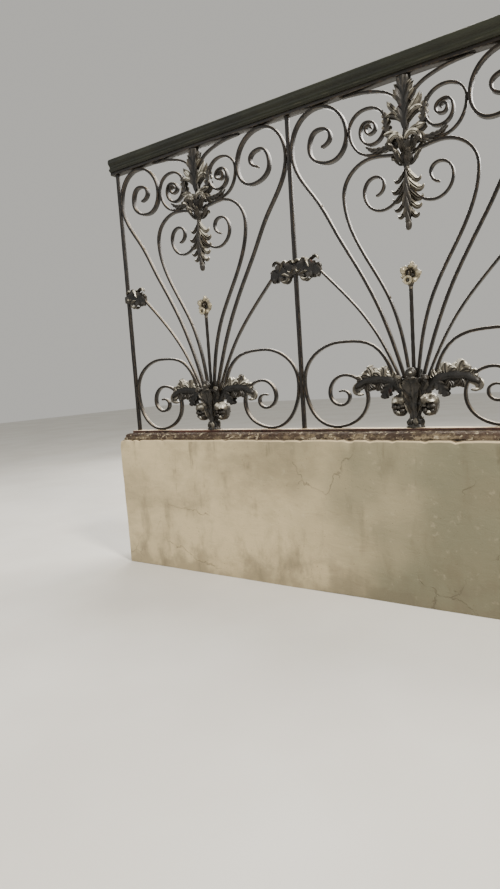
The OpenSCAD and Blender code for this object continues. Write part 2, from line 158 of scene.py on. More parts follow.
class Shape:
    """Wear says where paint is rubbed off, and relief how far a point stands out of a casting and how pale it
    is painted; many parts have their relief raised or lowered as painted light and shade.
    """

    def __init__(self):
        self.points, self.faces, self.wear, self.relief, self.count = [], [], [], [], 0

    def add(self, points, faces, wear, relief):
        self.points.append(points)
        self.faces += [[i + self.count for i in face] for face in faces]
        self.wear.append(np.broadcast_to(wear, len(points)).astype(float))
        self.relief.append(np.broadcast_to(relief, len(points)).astype(float))
        self.count += len(points)

    def skin(self, loops, wear, relief=0.5):
        """A closed skin over rings of points, from the first ring to the last."""
        n, m = loops.shape[:2]
        index = np.arange(n * m).reshape(n, m)
        after = np.roll(index, -1, axis=1)
        quads = np.stack([index[:-1], after[:-1], after[1:], index[1:]], -1).reshape(-1, 4).tolist()
        flat = [np.broadcast_to(v, (n, m)).reshape(-1) if np.ndim(v) else v for v in (wear, relief)]
        self.add(loops.reshape(-1, 3), quads + [index[0].tolist(), index[-1].tolist()], *flat)

    def absorb(self, other, turn=0.0, scale=(1, 1, 1), shift=(0, 0, 0)):
        """Takes in another shape, scaled, turned about Z, then moved."""
        c, s = unit(turn)
        spin = np.array([[c, -s, 0], [s, c, 0], [0, 0, 1]])
        for points in other.points:
            self.points.append((points * scale) @ spin.T + shift)
        self.faces += [[i + self.count for i in face] for face in other.faces]
        self.wear += other.wear
        self.relief += other.relief
        self.count += other.count

    def pair(self, other):
        """Takes in a shape and its mirror image in X."""
        self.absorb(other)
        self.absorb(other, scale=(-1, 1, 1))

    def both_faces(self, other, gap):
        """Takes in a shape made for the outer face, and the same turned to the inner face."""
        self.absorb(other, shift=(0, -gap, 0))
        self.absorb(other, scale=(1, -1, 1), shift=(0, gap, 0))

    def moved(self, shift):
        """The same shape in another place."""
        placed = Shape()
        placed.absorb(self, shift=shift)
        return placed


def swell(x, y, z):
    """Smooth noise that is 0 on average."""
    return noise.noise(Vector((x, y, z)))


def roughen(points, amounts, seed):
    """Moves points by smooth noise: amounts is a list of (size of the lumps, height) in mm."""
    flat = np.array(points, float).reshape(-1, 3)
    for size, height in amounts:
        for i, p in enumerate(flat):
            flat[i] = p + height * np.array(noise.noise_vector(Vector(p) / size + Vector((seed, 0, 0))))
    return flat.reshape(np.shape(points))


def make_piece(node, ending, shape, slot, x=0.0, z=RAIL_TOP, stands=True):
    """Makes a mesh object from a shape, with the looks of its slot. It is named after a CAD node,
    and stands for that node unless told not to."""
    name = f"{node}_{ending}"
    material, sharp = LOOKS[slot]
    mesh = bpy.data.meshes.new(name)
    points = (np.concatenate(shape.points) + np.array([x, 0, z])) * MM
    mesh.from_pydata(points.tolist(), [], shape.faces)
    for label, values in (("wear", shape.wear), ("relief", shape.relief)):
        mesh.attributes.new(label, "FLOAT", "POINT").data.foreach_set("value", np.concatenate(values))
    work = bmesh.new()
    work.from_mesh(mesh)
    bmesh.ops.recalc_face_normals(work, faces=work.faces)
    work.to_mesh(mesh)
    work.free()
    mesh.shade_smooth()
    mesh.set_sharp_from_angle(angle=math.radians(sharp))
    mesh.materials.append(material)
    piece = bpy.data.objects.new(name, mesh)
    bpy.context.scene.collection.objects.link(piece)
    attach(piece, "root")
    if stands:
        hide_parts(node)


# Forged bars

def section(half_a, half_b, r):
    """A rectangle with round corners, as points and their wear: the middle of each corner is worn."""
    points, wear = [], []
    for start, sa, sb, side in ((0, 1, 1, (0, half_b)), (90, -1, 1, (-half_a, 0)),
                                (180, -1, -1, (0, -half_b)), (270, 1, -1, (half_a, 0))):
        for angle in (0, 45, 90):
            points.append(np.array([sa * (half_a - r), sb * (half_b - r)]) + r * unit(start + angle))
            wear.append(1.0 if angle == 45 else 0.0)
        points.append(side)
        wear.append(0.0)
    return np.array(points, float), np.array(wear)


# How far round its end, in degrees, a bar has a ring of points
END_ANGLES = (25, 50, 72, 86)


def bar(shape, knots, thick, depth, tip, taper, flare, seed, x_shift, flip):
    """A forged bar along a curve, never quite even. Over its last taper millimetres its thickness
    falls to the share tip, and past the middle of its length it grows deeper by the share flare."""
    points, ways = curve(knots)
    run = lengths(points)
    total = run[-1]
    ring, ring_wear = section(thick / 2, depth / 2, BAR_CORNER)
    loops, wear = [], []

    def add(p, way, grow_a, grow_b, s):
        left = np.array([-way[1], way[0]])
        sway = BAR_WAVE * swell(s / 80, seed, 3.1)
        tilt = BAR_WAVE * swell(s / 130, seed, 7.7)
        even = 1 + 0.05 * swell(s / 30, seed, 1.3)
        row = []
        for a, b in ring:
            q = p + (a * grow_a * even + sway) * left
            row.append((flip * q[0] + x_shift, b * grow_b + tilt, q[1]))
        loops.append(row)
        wear.append(ring_wear * (0.7 + 0.3 * even))

    for p, way, s in zip(points, ways, run):
        near = max(0.0, 1 - (total - s) / taper)
        deep = 1 + flare * min(1.0, max(0.0, s / total - 0.35) / 0.3)
        add(p, way, 1 - (1 - tip) * near ** 1.5, deep * (1 - 0.15 * near ** 2), s)
    for angle in END_ANGLES:
        c, s = unit(angle)
        deep = 0.85 * (1 + flare) * (0.4 + 0.6 * c)
        add(points[-1] + ways[-1] * s * thick / 2 * tip, ways[-1], tip * c, deep, total)
    shape.skin(roughen(np.array(loops), [(16, 0.16)], seed), np.array(wear), 0.4)


# Latitude of the last ring of a lump, in degrees
POLE = 88


def lump(shape, centre, radii, seed, rough, wear=0.5, relief=0.5, rows=7, sides=10):
    """A rounded lump, such as a weld bead or a knob."""
    loops = []
    for i in range(rows + 1):
        c, s = unit(-POLE + 2 * POLE * i / rows)
        loops.append([(*(c * unit(360 * j / sides)), s) for j in range(sides)])
    loops = np.array(loops)
    for p in loops.reshape(-1, 3):
        p *= 1 + rough * noise.noise(Vector(p) * 1.6 + Vector((seed, seed * 0.7, 0)))
    shape.skin(loops * np.array(radii) + np.array(centre), wear, relief)


# Cast leaves

class Spine:
    """The middle line of a leaf. Its leaf lies along Y at a lean of 0 and in the XZ plane at 90."""

    def __init__(self, knots, lean=0.0, y=0.0):
        self.points, ways = curve(knots, spacing=6, bend=5)
        self.run = lengths(self.points)
        self.length = self.run[-1]
        self.angle = np.unwrap(np.arctan2(ways[:, 1], ways[:, 0]))
        self.lean, self.y = math.radians(lean), y

    def place(self, s, t, h):
        """Points at a distance along the spine, a distance across, and a height over the leaf."""
        s, t, h = np.broadcast_arrays(s, t, h)
        inside = np.clip(s, 0, self.length)
        x = np.interp(inside, self.run, self.points[:, 0])
        z = np.interp(inside, self.run, self.points[:, 1])
        angle = np.interp(inside, self.run, self.angle)
        ca, sa = np.cos(angle), np.sin(angle)
        x, z = x + (s - inside) * ca, z + (s - inside) * sa
        left = np.stack([-sa, np.zeros_like(sa), ca], -1)
        across = np.array([0.0, 1.0, 0.0])
        cl, sl = math.cos(self.lean), math.sin(self.lean)
        side = cl * across + sl * left
        up = cl * left - sl * across
        base = np.stack([x, np.full_like(x, self.y), z], -1)
        return base + t[..., None] * side + h[..., None] * up


# Cross-section of a frond: share of the half width, share of the thickness, wear, relief
BLADE = np.array([(-1, 0, 1, 1.0), (-0.62, 0.42, 0, 0.7), (-0.26, 0.62, 0, 0.6), (0, 0.2, 0, 0.1),
                  (0.26, 0.62, 0, 0.6), (0.62, 0.42, 0, 0.7), (1, 0, 1, 1.0), (0.62, -0.42, 0, 0.7),
                  (0.26, -0.62, 0, 0.6), (0, -0.2, 0, 0.1), (-0.26, -0.62, 0, 0.6), (-0.62, -0.42, 0, 0.7)])

# Least half width of a frond
THINNEST = 0.35


def finger(q, widest, w):
    """Half width at a share q of a leaf that swells to its widest share and closes to a tip."""
    if q < widest:
        return w * (0.62 + 0.38 * math.sin(math.pi / 2 * q / widest))
    return w * math.cos(math.pi / 2 * ((q - widest) / (1 - widest)) ** 1.4)


def frond(shape, knots, half, thick, *, seed, rows, root, y=0.0, cup=0.3, widest=0.5, pale=0.0):
    """A plain pointed leaf along a curve. Its edges rise by cup, as a share of its width, its relief
    starts at the share root, and pale raises all of its relief."""
    spine = Spine(knots, 90.0, y)
    q = np.linspace(0, 1, rows)[:, None]
    w = np.array([max(THINNEST, finger(v, widest, half)) for v in q[:, 0]])[:, None]
    across, over, wear, relief = BLADE.T
    h = cup * w * across ** 2 + over * thick * (0.45 + 0.55 * w / w.max())
    loops = roughen(spine.place(q * spine.length, across * w, h), [(7, 0.25)], seed)
    tall = np.clip(pale + relief * (root + (1 - root) * q ** 0.8), 0, 1)
    shape.skin(loops, wear * (0.4 + 0.6 * q), tall)


# Shares of the half width across an acanthus leaf
ACROSS = np.array([-1, -0.88, -0.68, -0.45, -0.2, 0, 0.2, 0.45, 0.68, 0.88, 1])


def acanthus(shape, knots, half, lobes, *, lift, curl, seed, lean=0.0, thick=4.0, sweep=0.55, belly=0.75,
             notch=0.5, root=0.5, teeth=3, rows=9, puff=0.16, pale=0.0):
    """A cast acanthus leaf: one sheet with a rib, cut into puffed lobes that sweep to its tip. Its
    edges rise by lift and the tips of its lobes by curl, as shares of its width. Its relief is
    raised by pale."""
    spine = Spine(knots, lean)
    q = np.linspace(0, 1, lobes * rows + 1)[:, None]
    f = np.clip(q * lobes - np.floor(q * lobes - 1e-9), 0, 1)
    full = np.maximum(root * (1 - q) ** 0.5, np.sin(np.pi * q ** belly) ** 0.6)
    lobe = np.sin(np.pi * f ** 1.35) ** 0.55
    serrated = 1 - 0.13 * (0.5 + 0.5 * np.cos(2 * np.pi * teeth * f)) * lobe
    wide = np.maximum(0.8, half * full * (1 - notch * (1 - lobe)) * serrated)
    t, a = ACROSS, np.abs(ACROSS)
    s = q * spine.length + sweep * spine.length / lobes * a ** 1.4 * full
    flute = 0.05 * np.cos(2 * np.pi * teeth * f) * np.sin(np.pi * a) * lobe
    rise = lift * a + curl * a ** 2.6 * lobe + puff * lobe * np.sin(np.pi * a ** 0.8) + flute
    h = rise * wide
    rib = 0.55 * np.exp(-(a / 0.16) ** 2) - 0.25 * np.exp(-((a - 0.28) / 0.12) ** 2)
    body = thick * (0.22 + 0.5 * (1 - a ** 2)) * (0.5 + 0.5 * full)
    top, low = h + body + rib * thick * 0.5, h - body - rib * thick * 0.5
    inner = slice(-2, 0, -1)
    ring_s = np.concatenate([s, s[:, inner]], axis=1)
    ring_t = np.concatenate([t * wide, (t * wide)[:, inner]], axis=1)
    ring_h = np.concatenate([top, low[:, inner]], axis=1)
    ring_h[:, 0], ring_h[:, len(t) - 1] = h[:, 0], h[:, -1]
    loops = roughen(spine.place(ring_s, ring_t, ring_h), [(9, 0.35)], seed)
    tall = np.clip(pale + 0.08 + a ** 1.2 * lobe ** 1.5 * (0.45 + 0.55 * full) + 0.35 * rib, 0, 1)
    tall = np.concatenate([tall, tall[:, inner]], axis=1)
    edge = np.concatenate([a ** 8, (a ** 8)[inner]]) * np.ones_like(tall)
    shape.skin(loops, edge, tall)


def fan(shape, x, z, heading, size, seed, y, *, pale, fingers=4, gap=27.0, wide=0.4):
    """Short round lobes that spread from one point, like the edge of a crumpled leaf."""
    for i in range(fingers):
        side = i - (fingers - 1) / 2
        turn = heading - gap * side
        odd = i % 2
        long = size * (1 - 0.09 * abs(side)) * (0.93 + 0.14 * odd)
        c, d = unit(turn)
        frond(shape, [(x, z, turn + 14), (x + long * c, z + long * d, turn - 40)], wide * size, thick=8.0,
              y=y - 2.5 * odd, cup=-0.35, widest=0.72, seed=seed + i, rows=11, root=0.75, pale=pale)


COIL_SIDES = 33


def coil(shape, knots, sizes, seed):
    """A rounded roll along a curve. Sizes are (share of its length, half thickness, half depth, relief)."""
    spine = Spine(knots)
    q = np.linspace(0, 1, max(16, int(spine.length / 5)))[:, None]
    share, thick, deep, relief = np.array(sizes, float).T
    turn = np.linspace(0, 2 * math.pi, COIL_SIDES, endpoint=False)[None, :]
    flute = 1 + 0.06 * np.cos(11 * turn + 4 * q) * np.cos(math.pi * (q - 0.5))
    close = np.sqrt(np.clip(1 - np.maximum(0, (q - 0.93) / 0.07) ** 2, 0.01, 1))
    across = np.interp(q, share, deep) * close * np.cos(turn) * flute
    over = np.interp(q, share, thick) * close * np.sin(turn) * flute
    loops = roughen(spine.place(q * spine.length, across, over), [(24, 2.4), (11, 0.8), (5, 0.3)], seed)
    shape.skin(loops, 0.2, np.interp(q, share, relief) * np.ones_like(turn))


PROFILE_STEPS = 3


def smooth_profile(points):
    """A smooth line through (radius, z) points."""
    p = [np.array(v, float) for v in [points[0]] + points + [points[-1]]]
    out = []
    for a, b, c, d in zip(p, p[1:], p[2:], p[3:]):
        for k in range(PROFILE_STEPS):
            t = k / PROFILE_STEPS
            out.append(0.5 * (2 * b + (c - a) * t + (2 * a - 5 * b + 4 * c - d) * t * t
                              + (3 * b - a - 3 * c + d) * t ** 3))
    out.append(p[-2])
    return [(max(0.3, v[0]), v[1]) for v in out]


def turned_body(shape, profile, sides, flutes=0, *, relief, seed, depth=0.0, squash=1.0):
    """A turned core through (radius, z) points, with flutes cut round it."""
    loops = []
    for r, z in profile:
        row = []
        for j in range(sides):
            angle = 360 * j / sides
            cut = 1 - depth * (0.5 - 0.5 * math.cos(math.radians(angle * flutes)))
            c, s = unit(angle)
            row.append((r * cut * c, r * cut * s * squash, z))
        loops.append(row)
    shape.skin(roughen(np.array(loops, float), [(10, 0.3)], seed), 0.2, relief)


# Castings, made round X 0 and Y 0, with Z 0 at the top of the bottom rail

# Turns of the leaves round a core. Those at -90 and 90 lie on its two faces
RING_SIDES = (-145, -90, -35, 35, 90, 145)

# Roll of a bud: its curve, and sizes along it as for a coil; relief is high over the top of the roll, as
# painted light from above, and low below it, as painted shade
BUD_ROLL = [(24, 54, 98), (29, 86, 72), (49, 99, 0), (66, 76, -88), (52, 46, -170), (34, 54, -262),
            (40, 70, -330)]
BUD_SIZES = [(0, 8, 16, 0.2), (0.14, 12, 22, 0.8), (0.36, 14, 24, 1.0), (0.5, 12, 22, 0.6),
             (0.62, 10, 19, 0.1), (0.8, 9, 17, 0.5), (1, 8, 16, 0.3)]

# Lumps on the face of a bud: place, half size, relief; the lumps on the hood and the upturned lip are pale as
# painted light, the others darker as painted shade
BUD_LUMPS = [(39, 92, 17, 1.0), (55, 91, 16, 1.0), (36, 72, 8, 0.4), (62, 70, 10, 0.15), (50, 68, 7, 0.3),
             (38, 57, 9, 0.2), (61, 55, 7, 0.1), (50, 49, 8, 1.0)]


def rolled_bud(seed):
    """A leaf tip rolled up like a snail beside the foot, with the eye of the roll on both faces."""
    bud, face = Shape(), Shape()
    coil(bud, BUD_ROLL, BUD_SIZES, seed)
    # A core inside the roll, kept dark as the painted shade under the hood
    lump(bud, (48, 0, 72), (19, 18, 25), seed + 2, rough=0.2, wear=0.0, relief=0.12, rows=14, sides=24)
    for k, (x, z, size, relief) in enumerate(BUD_LUMPS):
        lump(face, (x, -13, z), (size, 0.8 * size, 0.85 * size), seed + 3 + k, rough=0.3, wear=0.3,
             relief=relief, rows=11, sides=18)
    bud.both_faces(face, 6)
    return bud


# Core of the base casting, as (radius, z)
BASE_PROFILE = [(0.5, 0), (30, 0), (29, 6), (24, 16), (20, 32), (19, 62), (22, 84), (31, 112), (43, 142),
                (46, 156), (36, 162), (0.5, 162)]


def base_core(shape):
    """The cup on its stem, with leaves round it and lumps round its foot."""
    turned_body(shape, smooth_profile(BASE_PROFILE), 32, 8, depth=0.12, squash=0.72, relief=0.15, seed=1.0)
    for k, turn in enumerate(RING_SIDES):
        leaf = Shape()
        if abs(turn) == 90:
            knots = [(13, 26, 88), (15, 70, 84), (23, 120, 76), (31, 154, 66), (42, 166, -20),
                     (42, 155, -110)]
            acanthus(leaf, knots, 34, 4, lift=-0.14, curl=-0.25, thick=4.5, seed=k * 3.0, belly=0.8,
                     notch=0.16, root=0.34, pale=-0.1)
            lump(leaf, (33, 0, 180), (15, 18, 17), k + 0.3, rough=0.15, wear=0.3, relief=0.3, rows=12,
                 sides=20)
            # A small pale knob on the dome: a painted highlight
            lump(leaf, (46, 3, 179), (4, 5, 5), k + 0.6, rough=0.2, wear=0.3, relief=0.9, rows=8, sides=12)
            shape.absorb(leaf, turn=turn)
        else:
            knots = [(14, 26, 88), (18, 70, 76), (42, 138, 60), (55, 158, 10), (60, 147, -100)]
            acanthus(leaf, knots, 27, 4, lift=-0.12, curl=-0.3, seed=k * 3.0, belly=0.9, notch=0.25,
                     root=0.2, pale=-0.35)
            coil(leaf, [(42, 150, 64), (53, 165, 10), (63, 154, -80)],
                 [(0, 5, 10, 0.1), (0.5, 8, 17, 0.6), (1, 6, 14, 0.2)], k + 0.7)
            shape.absorb(leaf, turn=turn, scale=(1, 0.65, 1))
    for k, angle in enumerate(range(-160, 200, 40)):
        c, d = unit(angle)
        lump(shape, (22 * c, 16 * d, 16 + 5 * (k % 2)), (8, 6, 9 + 3 * (k % 3)), k + 0.9, rough=0.5,
             wear=0.3, relief=0.35 * (k % 3), rows=9, sides=14)


# The arching leaf of the base casting: its spine, and the thick roll down its middle, whose relief is near 0
# so that it is painted dark as the shade on the leaf's near face
ARCH_SPINE = [(30, 96, 62), (60, 142, 44), (98, 161, 12), (140, 163, -8), (178, 154, -34), (200, 138, -66)]
ARCH_ROLL = ARCH_SPINE[:3] + [(138, 163, -8), (176, 155, -36), (206, 134, -78)]
ARCH_SIZES = [(0, 5, 5, 0.1), (0.15, 9, 9, 0.0), (0.35, 17, 14, 0.0), (0.6, 18, 15, 0.0),
              (0.85, 13, 16, 0.0), (1, 7, 13, 0.1)]

# Lobes of the arch on one face: root, heading, size, depth behind the middle plane, relief, raised on the
# upper lobes as painted light and lowered on the lower ones as painted shade
ARCH_FANS = [(78, 150, 96, 38, 2.0, 0.2), (106, 162, 76, 42, 0.0, 0.3), (142, 168, 52, 42, 1.0, 0.3),
             (178, 162, 20, 22, 2.0, 0.2), (112, 152, -82, 30, 2.0, -0.3), (150, 154, -96, 30, 0.0, -0.25)]


def arch():
    """The leaf that arches out to one side, with its tip rolled in and a small leaf under it."""
    made, face, small = Shape(), Shape(), Shape()
    # The main sheet's relief is lowered, as painted shade on its near face
    acanthus(face, ARCH_SPINE, 23, 5, lean=90, lift=-0.15, curl=-0.2, thick=6.0, seed=5.0, belly=0.7,
             notch=0.3, sweep=0.6, root=0.4, rows=10, pale=-0.45)
    for k, (x, z, heading, size, y, pale) in enumerate(ARCH_FANS):
        fan(face, x, z, heading, size, 70.0 + 7 * k, y, pale=pale)
    frond(face, [(142, 158, -8), (180, 150, -36), (202, 128, -92), (188, 114, -172)], 15, 4.5, y=2.0,
          cup=0.35, seed=9.0, widest=0.6, rows=18, root=0.5, pale=0.05)
    made.both_faces(face, 5)
    coil(made, ARCH_ROLL, ARCH_SIZES, 77.0)
    lump(made, (190, 0, 116), (13, 14, 6), 2.2, rough=0.25, wear=0.3, relief=0.8, rows=9, sides=14)
    acanthus(small, [(66, 150, -40), (88, 128, -50), (104, 98, -72)], 20, 3, lean=90, lift=0.1, curl=0.3,
             seed=8.0, root=0.9, notch=0.45, pale=-0.5)
    made.both_faces(small, 8)
    return made


def base_casting():
    """The cup, with an arching leaf and a rolled bud on each side."""
    shape = Shape()
    base_core(shape)
    shape.pair(arch())
    shape.pair(rolled_bud(14.0))
    return shape


# Core of the crown casting, from the level CROWN_Z up to the under rail, as (radius, z)
CROWN_TOP = FIELD_H - TOUCH - CROWN_Z
CROWN_PROFILE = [(0.5, -38), (9, -38), (11, -34), (20, -24), (22, -14), (20, -4), (16, 4), (22, 20), (27, 35),
                 (20, 44), (11, 56), (8, 92), (11, 125), (15, 160), (19, 195), (23, CROWN_TOP - 1),
                 (0.5, CROWN_TOP)]

# Fronds of the crown on one face: knots, half width, depth in front of the middle, how pale its root is; the
# pale fronds stand in for painted highlights on their lit upper faces
CROWN_FRONDS = [
    ([(6, 180, 66), (17, 198, 50), (30, 210, 20)], 6, 5, 0.2),
    ([(6, 146, 66), (18, 166, 48), (37, 180, 10)], 7, 8, 0.8),
    ([(5, 108, 50), (27, 132, 44), (53, 168, 62)], 9, 6, 1.1),
    ([(6, 96, 48), (32, 121, 22), (59, 120, -40)], 8, 9, 0.95),
    ([(8, 44, 40), (32, 63, 14), (67, 69, 12)], 10, 12, 1.1),
    ([(6, 38, 62), (24, 55, 6), (56, 26, -48)], 9, 18, 1.15),
    ([(10, 28, 10), (38, 46, 8), (57, 36, -80), (46, 28, -170)], 8, 6, 0.2)]

# Tips at the top of the palmette's middle leaf: lean, length, half width
PALMETTE_Z = 134
PALMETTE_TIPS = [(0, 84, 11), (26, 74, 8), (-26, 74, 8)]


def crown_casting():
    """The cup under the rail, with a stalk and a palmette on it and arms to both sides."""
    shape, side, face, front = Shape(), Shape(), Shape(), Shape()
    turned_body(shape, smooth_profile(CROWN_PROFILE), 32, 8, depth=0.14, squash=0.8, relief=0.1, seed=2.0)
    for k, turn in enumerate(RING_SIDES):
        leaf, petal = Shape(), Shape()
        acanthus(leaf, [(13, -6, 36), (34, 12, 46), (52, 32, 30), (62, 32, -60), (56, 22, -150)], 15, 3,
                 lift=-0.15, curl=-0.3, seed=k * 2.0 + 20, rows=8, notch=0.35, root=0.6,
                 pale=0.3 if k % 2 else 0.0)
        shape.absorb(leaf, turn=turn, scale=(1, 0.75, 1))
        acanthus(petal, [(10, -30, 10), (26, -24, 50), (36, -4, 50), (48, 2, -30), (46, -8, -120)], 12, 2,
                 lift=-0.3, curl=-0.3, thick=3.6, seed=k * 2.0 + 33, rows=7)
        shape.absorb(petal, turn=turn + 27, scale=(1, 0.85, 1))
    acanthus(face, [(26, 38, 52), (53, 76, 66), (60, 113, 90), (74, 148, 50)], 14, 6, lean=90, lift=0.1,
             curl=0.4, thick=4.5, seed=43.0, notch=0.65, sweep=0.6, rows=8, teeth=1, root=0.7)
    acanthus(face, [(12, 38, -8), (58, 30, -2), (98, 33, 8), (130, 52, 40)], 9, 7, lean=90, lift=0.1,
             curl=0.3, thick=6.0, seed=41.0, notch=0.3, sweep=0.7, rows=8, teeth=1, root=1.1, pale=-0.1)
    for k, (knots, half, y, pale) in enumerate(CROWN_FRONDS):
        frond(face, knots, half, 6.5, y=4.0 - y, seed=48.0 + k, widest=0.6, rows=13, root=pale,
              pale=0.75 * pale)
    side.both_faces(face, 6)
    shape.pair(side)
    acanthus(front, [(0, 66, 90), (0, 120, 90), (0, 172, 90), (0, 224, 90)], 25, 3, lean=90, lift=0.15,
             curl=0.4, thick=5.0, seed=47.0, rows=11, belly=1.0, notch=0.38, pale=-0.3)
    for k, (lean, long, wide) in enumerate(PALMETTE_TIPS):
        z, x = long * unit(lean) * (1, -1)
        knots = [(0.12 * x, PALMETTE_Z, 90 + 0.3 * lean), (0.6 * x, PALMETTE_Z + 0.55 * z, 90 + lean),
                 (x, PALMETTE_Z + 0.96 * z, 90 + 1.6 * lean)]
        frond(front, knots, wide, 4.5, y=1.0 - 0.1 * k, cup=0.5, seed=57.0 + k, rows=11, root=0.0)
    shape.both_faces(front, 9)
    return shape.moved((0, 0, CROWN_Z))


# The pendant leaf hangs from Z 0 down: its core as (radius, z)
PENDANT_TOP = CROWN_Z - 38 - TOUCH
PENDANT_PROFILE = [(0.5, 0), (8, 0), (10, -4), (9, -11), (6, -16), (9, -50), (9, -80), (8, -120), (5, -150),
                   (6, -160), (10, -168), (11, -178), (8, -189), (0.5, -193)]

# Lobes of the pendant leaf from the top: reach, half width, drop and relief, left and then right; the right
# lobes are given more relief, as painted light falling from the right
PENDANT_LOBES = [((-42, 8, 28, 0.1), (45, 9, 34, 0.45)), ((-50, 9, 32, 0.0), (53, 12, 33, 0.6)),
                 ((-48, 10, 30, 0.25), (50, 11, 34, 0.15)), ((-44, 8, 31, 0.0), (45, 10, 30, 0.55)),
                 ((-33, 8, 26, 0.2), (36, 9, 29, 0.3))]


def pendant_leaf():
    """A hanging leaf with hooked lobes down both sides of its stem, and a knob at its end."""
    shape, leaf = Shape(), Shape()
    turned_body(shape, smooth_profile(PENDANT_PROFILE), 24, 6, depth=0.1, relief=0.45, seed=3.0)
    acanthus(leaf, [(0, -8, -90), (0, -90, -90), (0, -172, -90)], 16, 4, lean=90, lift=-0.1, curl=0.4,
             thick=6.0, seed=51.0, rows=11, sweep=0.8, belly=0.8, root=0.6, puff=0.3)
    for i, lobes in enumerate(PENDANT_LOBES):
        z = -12 - 28 * i
        for reach, half, drop, pale in lobes:
            side, r = math.copysign(1, reach), abs(reach)
            lobe = Shape()
            knots = [(2, z + 8, -64), (0.4 * r, z - 0.6 * drop, -42), (0.8 * r, z - drop, 8),
                     (r, z - 0.66 * drop, 84)]
            frond(lobe, knots, half, 13.0, cup=0.0, widest=0.56, seed=56.0 + i + side, rows=15, root=0.3,
                  pale=pale)
            shape.absorb(lobe, scale=(side, 1, 1))
    shape.both_faces(leaf, 6)
    return shape.moved((0, 0, PENDANT_TOP))


# Rims of a divider's leaf that stand out: knots, half width, depth in front of the leaf, relief, mostly high
# as painted highlights along the rims
DIVIDER_RIMS = [
    ([(0, 26, 40), (13, 35, 0), (27, 28, -40)], 5, 6, 0.8),
    ([(30, 30, 60), (38, 38, -5), (50, 27, -60), (60, 4, -55)], 5, 8, 0.9),
    ([(54, 22, 60), (67, 34, 20), (80, 40, 0), (92, 26, -80)], 6, 0, 0.15),
    ([(22, -17, 30), (38, -10, 12), (54, -9, -5)], 5, 8, 0.9),
    ([(24, -24, -60), (40, -36, 0), (56, -31, 30)], 6, 6, 0.7),
    ([(4, 4, -40), (14, -6, -10), (26, 2, 50)], 5, 8, 0.5)]

# Collar round the upright under the leaves: half width, corner, and (z, share of the width)
COLLAR, COLLAR_CORNER = 12, 3
COLLAR_RINGS = [(-13, 0.86), (-11, 1), (0, 1.03), (14, 1), (16, 0.86)]


def divider_leaf(sides, seed):
    """Waved leaves that curl up and down from a collar on the upright, on both faces."""
    shape, side, face = Shape(), Shape(), Shape()
    acanthus(face, [(-2, 6, 0), (34, 4, -6), (70, -4, -14), (102, -14, -14)], 33, 3, lean=90, lift=0.08,
             curl=0.25, thick=6, seed=seed, rows=12, sweep=0.35, belly=0.62, notch=0.32, root=0.95, teeth=1,
             pale=-0.42)
    for k, (knots, half, y, pale) in enumerate(DIVIDER_RIMS):
        frond(face, knots, half, 9, y=-y, cup=-0.3, seed=seed + 2 + k, rows=14, root=pale, pale=0.6 * pale)
    fan(face, 68, -6, -18, 37, seed + 9, 3.0, fingers=5, gap=33.0, pale=-0.35, wide=0.32)
    side.both_faces(face, 5)
    lump(side, (84, 0, -13), (16, 8, 19), seed + 1, rough=0.14, wear=0.1, relief=0.05, rows=12, sides=18)
    for s in sides:
        shape.absorb(side, scale=(s, 1, 1))
    ring = section(COLLAR, COLLAR, COLLAR_CORNER)[0]
    loops = np.array([[(a * g, b * g, z) for a, b in ring] for z, g in COLLAR_RINGS])
    shape.skin(roughen(loops, [(12, 0.4)], seed), 0.4, 0.3)
    return shape


# Section of the flower from the middle of its hollow over its rim to its back: radius, depth, relief,
# and the share of the petals' scallops and waves that it takes
# Relief is low in the hollow, so that it is painted dark as shade
COROLLA = [
    (0.5, 1, 0.1, 0), (9, 1, 0.1, 0.1), (13, -1, 0.1, 0.5), (16, -6, 0.25, 0.8),
    (18, -10, 0.7, 0.9), (23, -13, 1.0, 0.9), (28, -13, 1.0, 0.9), (32, -10, 0.9, 1),
    (33, -5, 0.7, 1), (30, -3, 0.4, 0.9), (24, -2, 0.3, 0.6), (19, 3, 0.2, 0.3), (15, 11, 0.1, 0.1),
    (7, 14, 0.1, 0), (0.5, 14, 0.1, 0)]
COROLLA_SIDES = 72
PETALS, FIRST_PETAL = 5, 84

# Dark knobs in the hollow, and a dark lump behind the ring as painted shade in its hole: centre, half sizes
FLOWER_KNOBS = [((-3, -4, 3), (3, 5, 9)), ((5, -4, 6), (3, 5, 4)), ((-4, -12, -20), (8, 5, 8))]

# Cup under the flower, at the end of its stem, as (radius, height over the stem's end)
CALYX = [(0.5, -16), (7, -15), (6, -6), (8, 2), (9, 10), (5, 14), (0.5, 15)]


def corolla(shape):
    """The flower's cup: its rim is scalloped into petals, and waved and creased by noise."""
    loops, tall = [], []
    for r, y, relief, share in COROLLA:
        row, high = [], []
        for j in range(COROLLA_SIDES):
            angle = 360 * j / COROLLA_SIDES
            c, s = unit(angle)
            wave = math.cos(math.radians(PETALS * (angle - FIRST_PETAL)))
            uneven = swell(c * 1.3, s * 1.3, 4.2)
            crease = swell(c * 5.5, s * 5.5, 1.7)
            petal = abs(wave) ** 0.6 * math.copysign(1, wave)
            grow = 1 + share * (0.05 * petal + 0.26 * uneven + 0.14 * crease)
            lie = y - share * (2.5 * petal + 4.0 * uneven + 5.0 * crease)
            row.append((r * grow * c, lie, r * grow * s))
            # Relief rises and falls with the creases, as painted shade in them
            high.append(relief * (0.72 + 0.2 * max(wave, -0.6) + 0.7 * crease))
        loops.append(row)
        tall.append(high)
    shape.skin(roughen(np.array(loops), [(8, 1.8), (3, 0.4)], 5.0), 0.3, np.array(tall))


# Steps round the ring and round its section
RING_STEPS, TUBE_STEPS = 24, 6


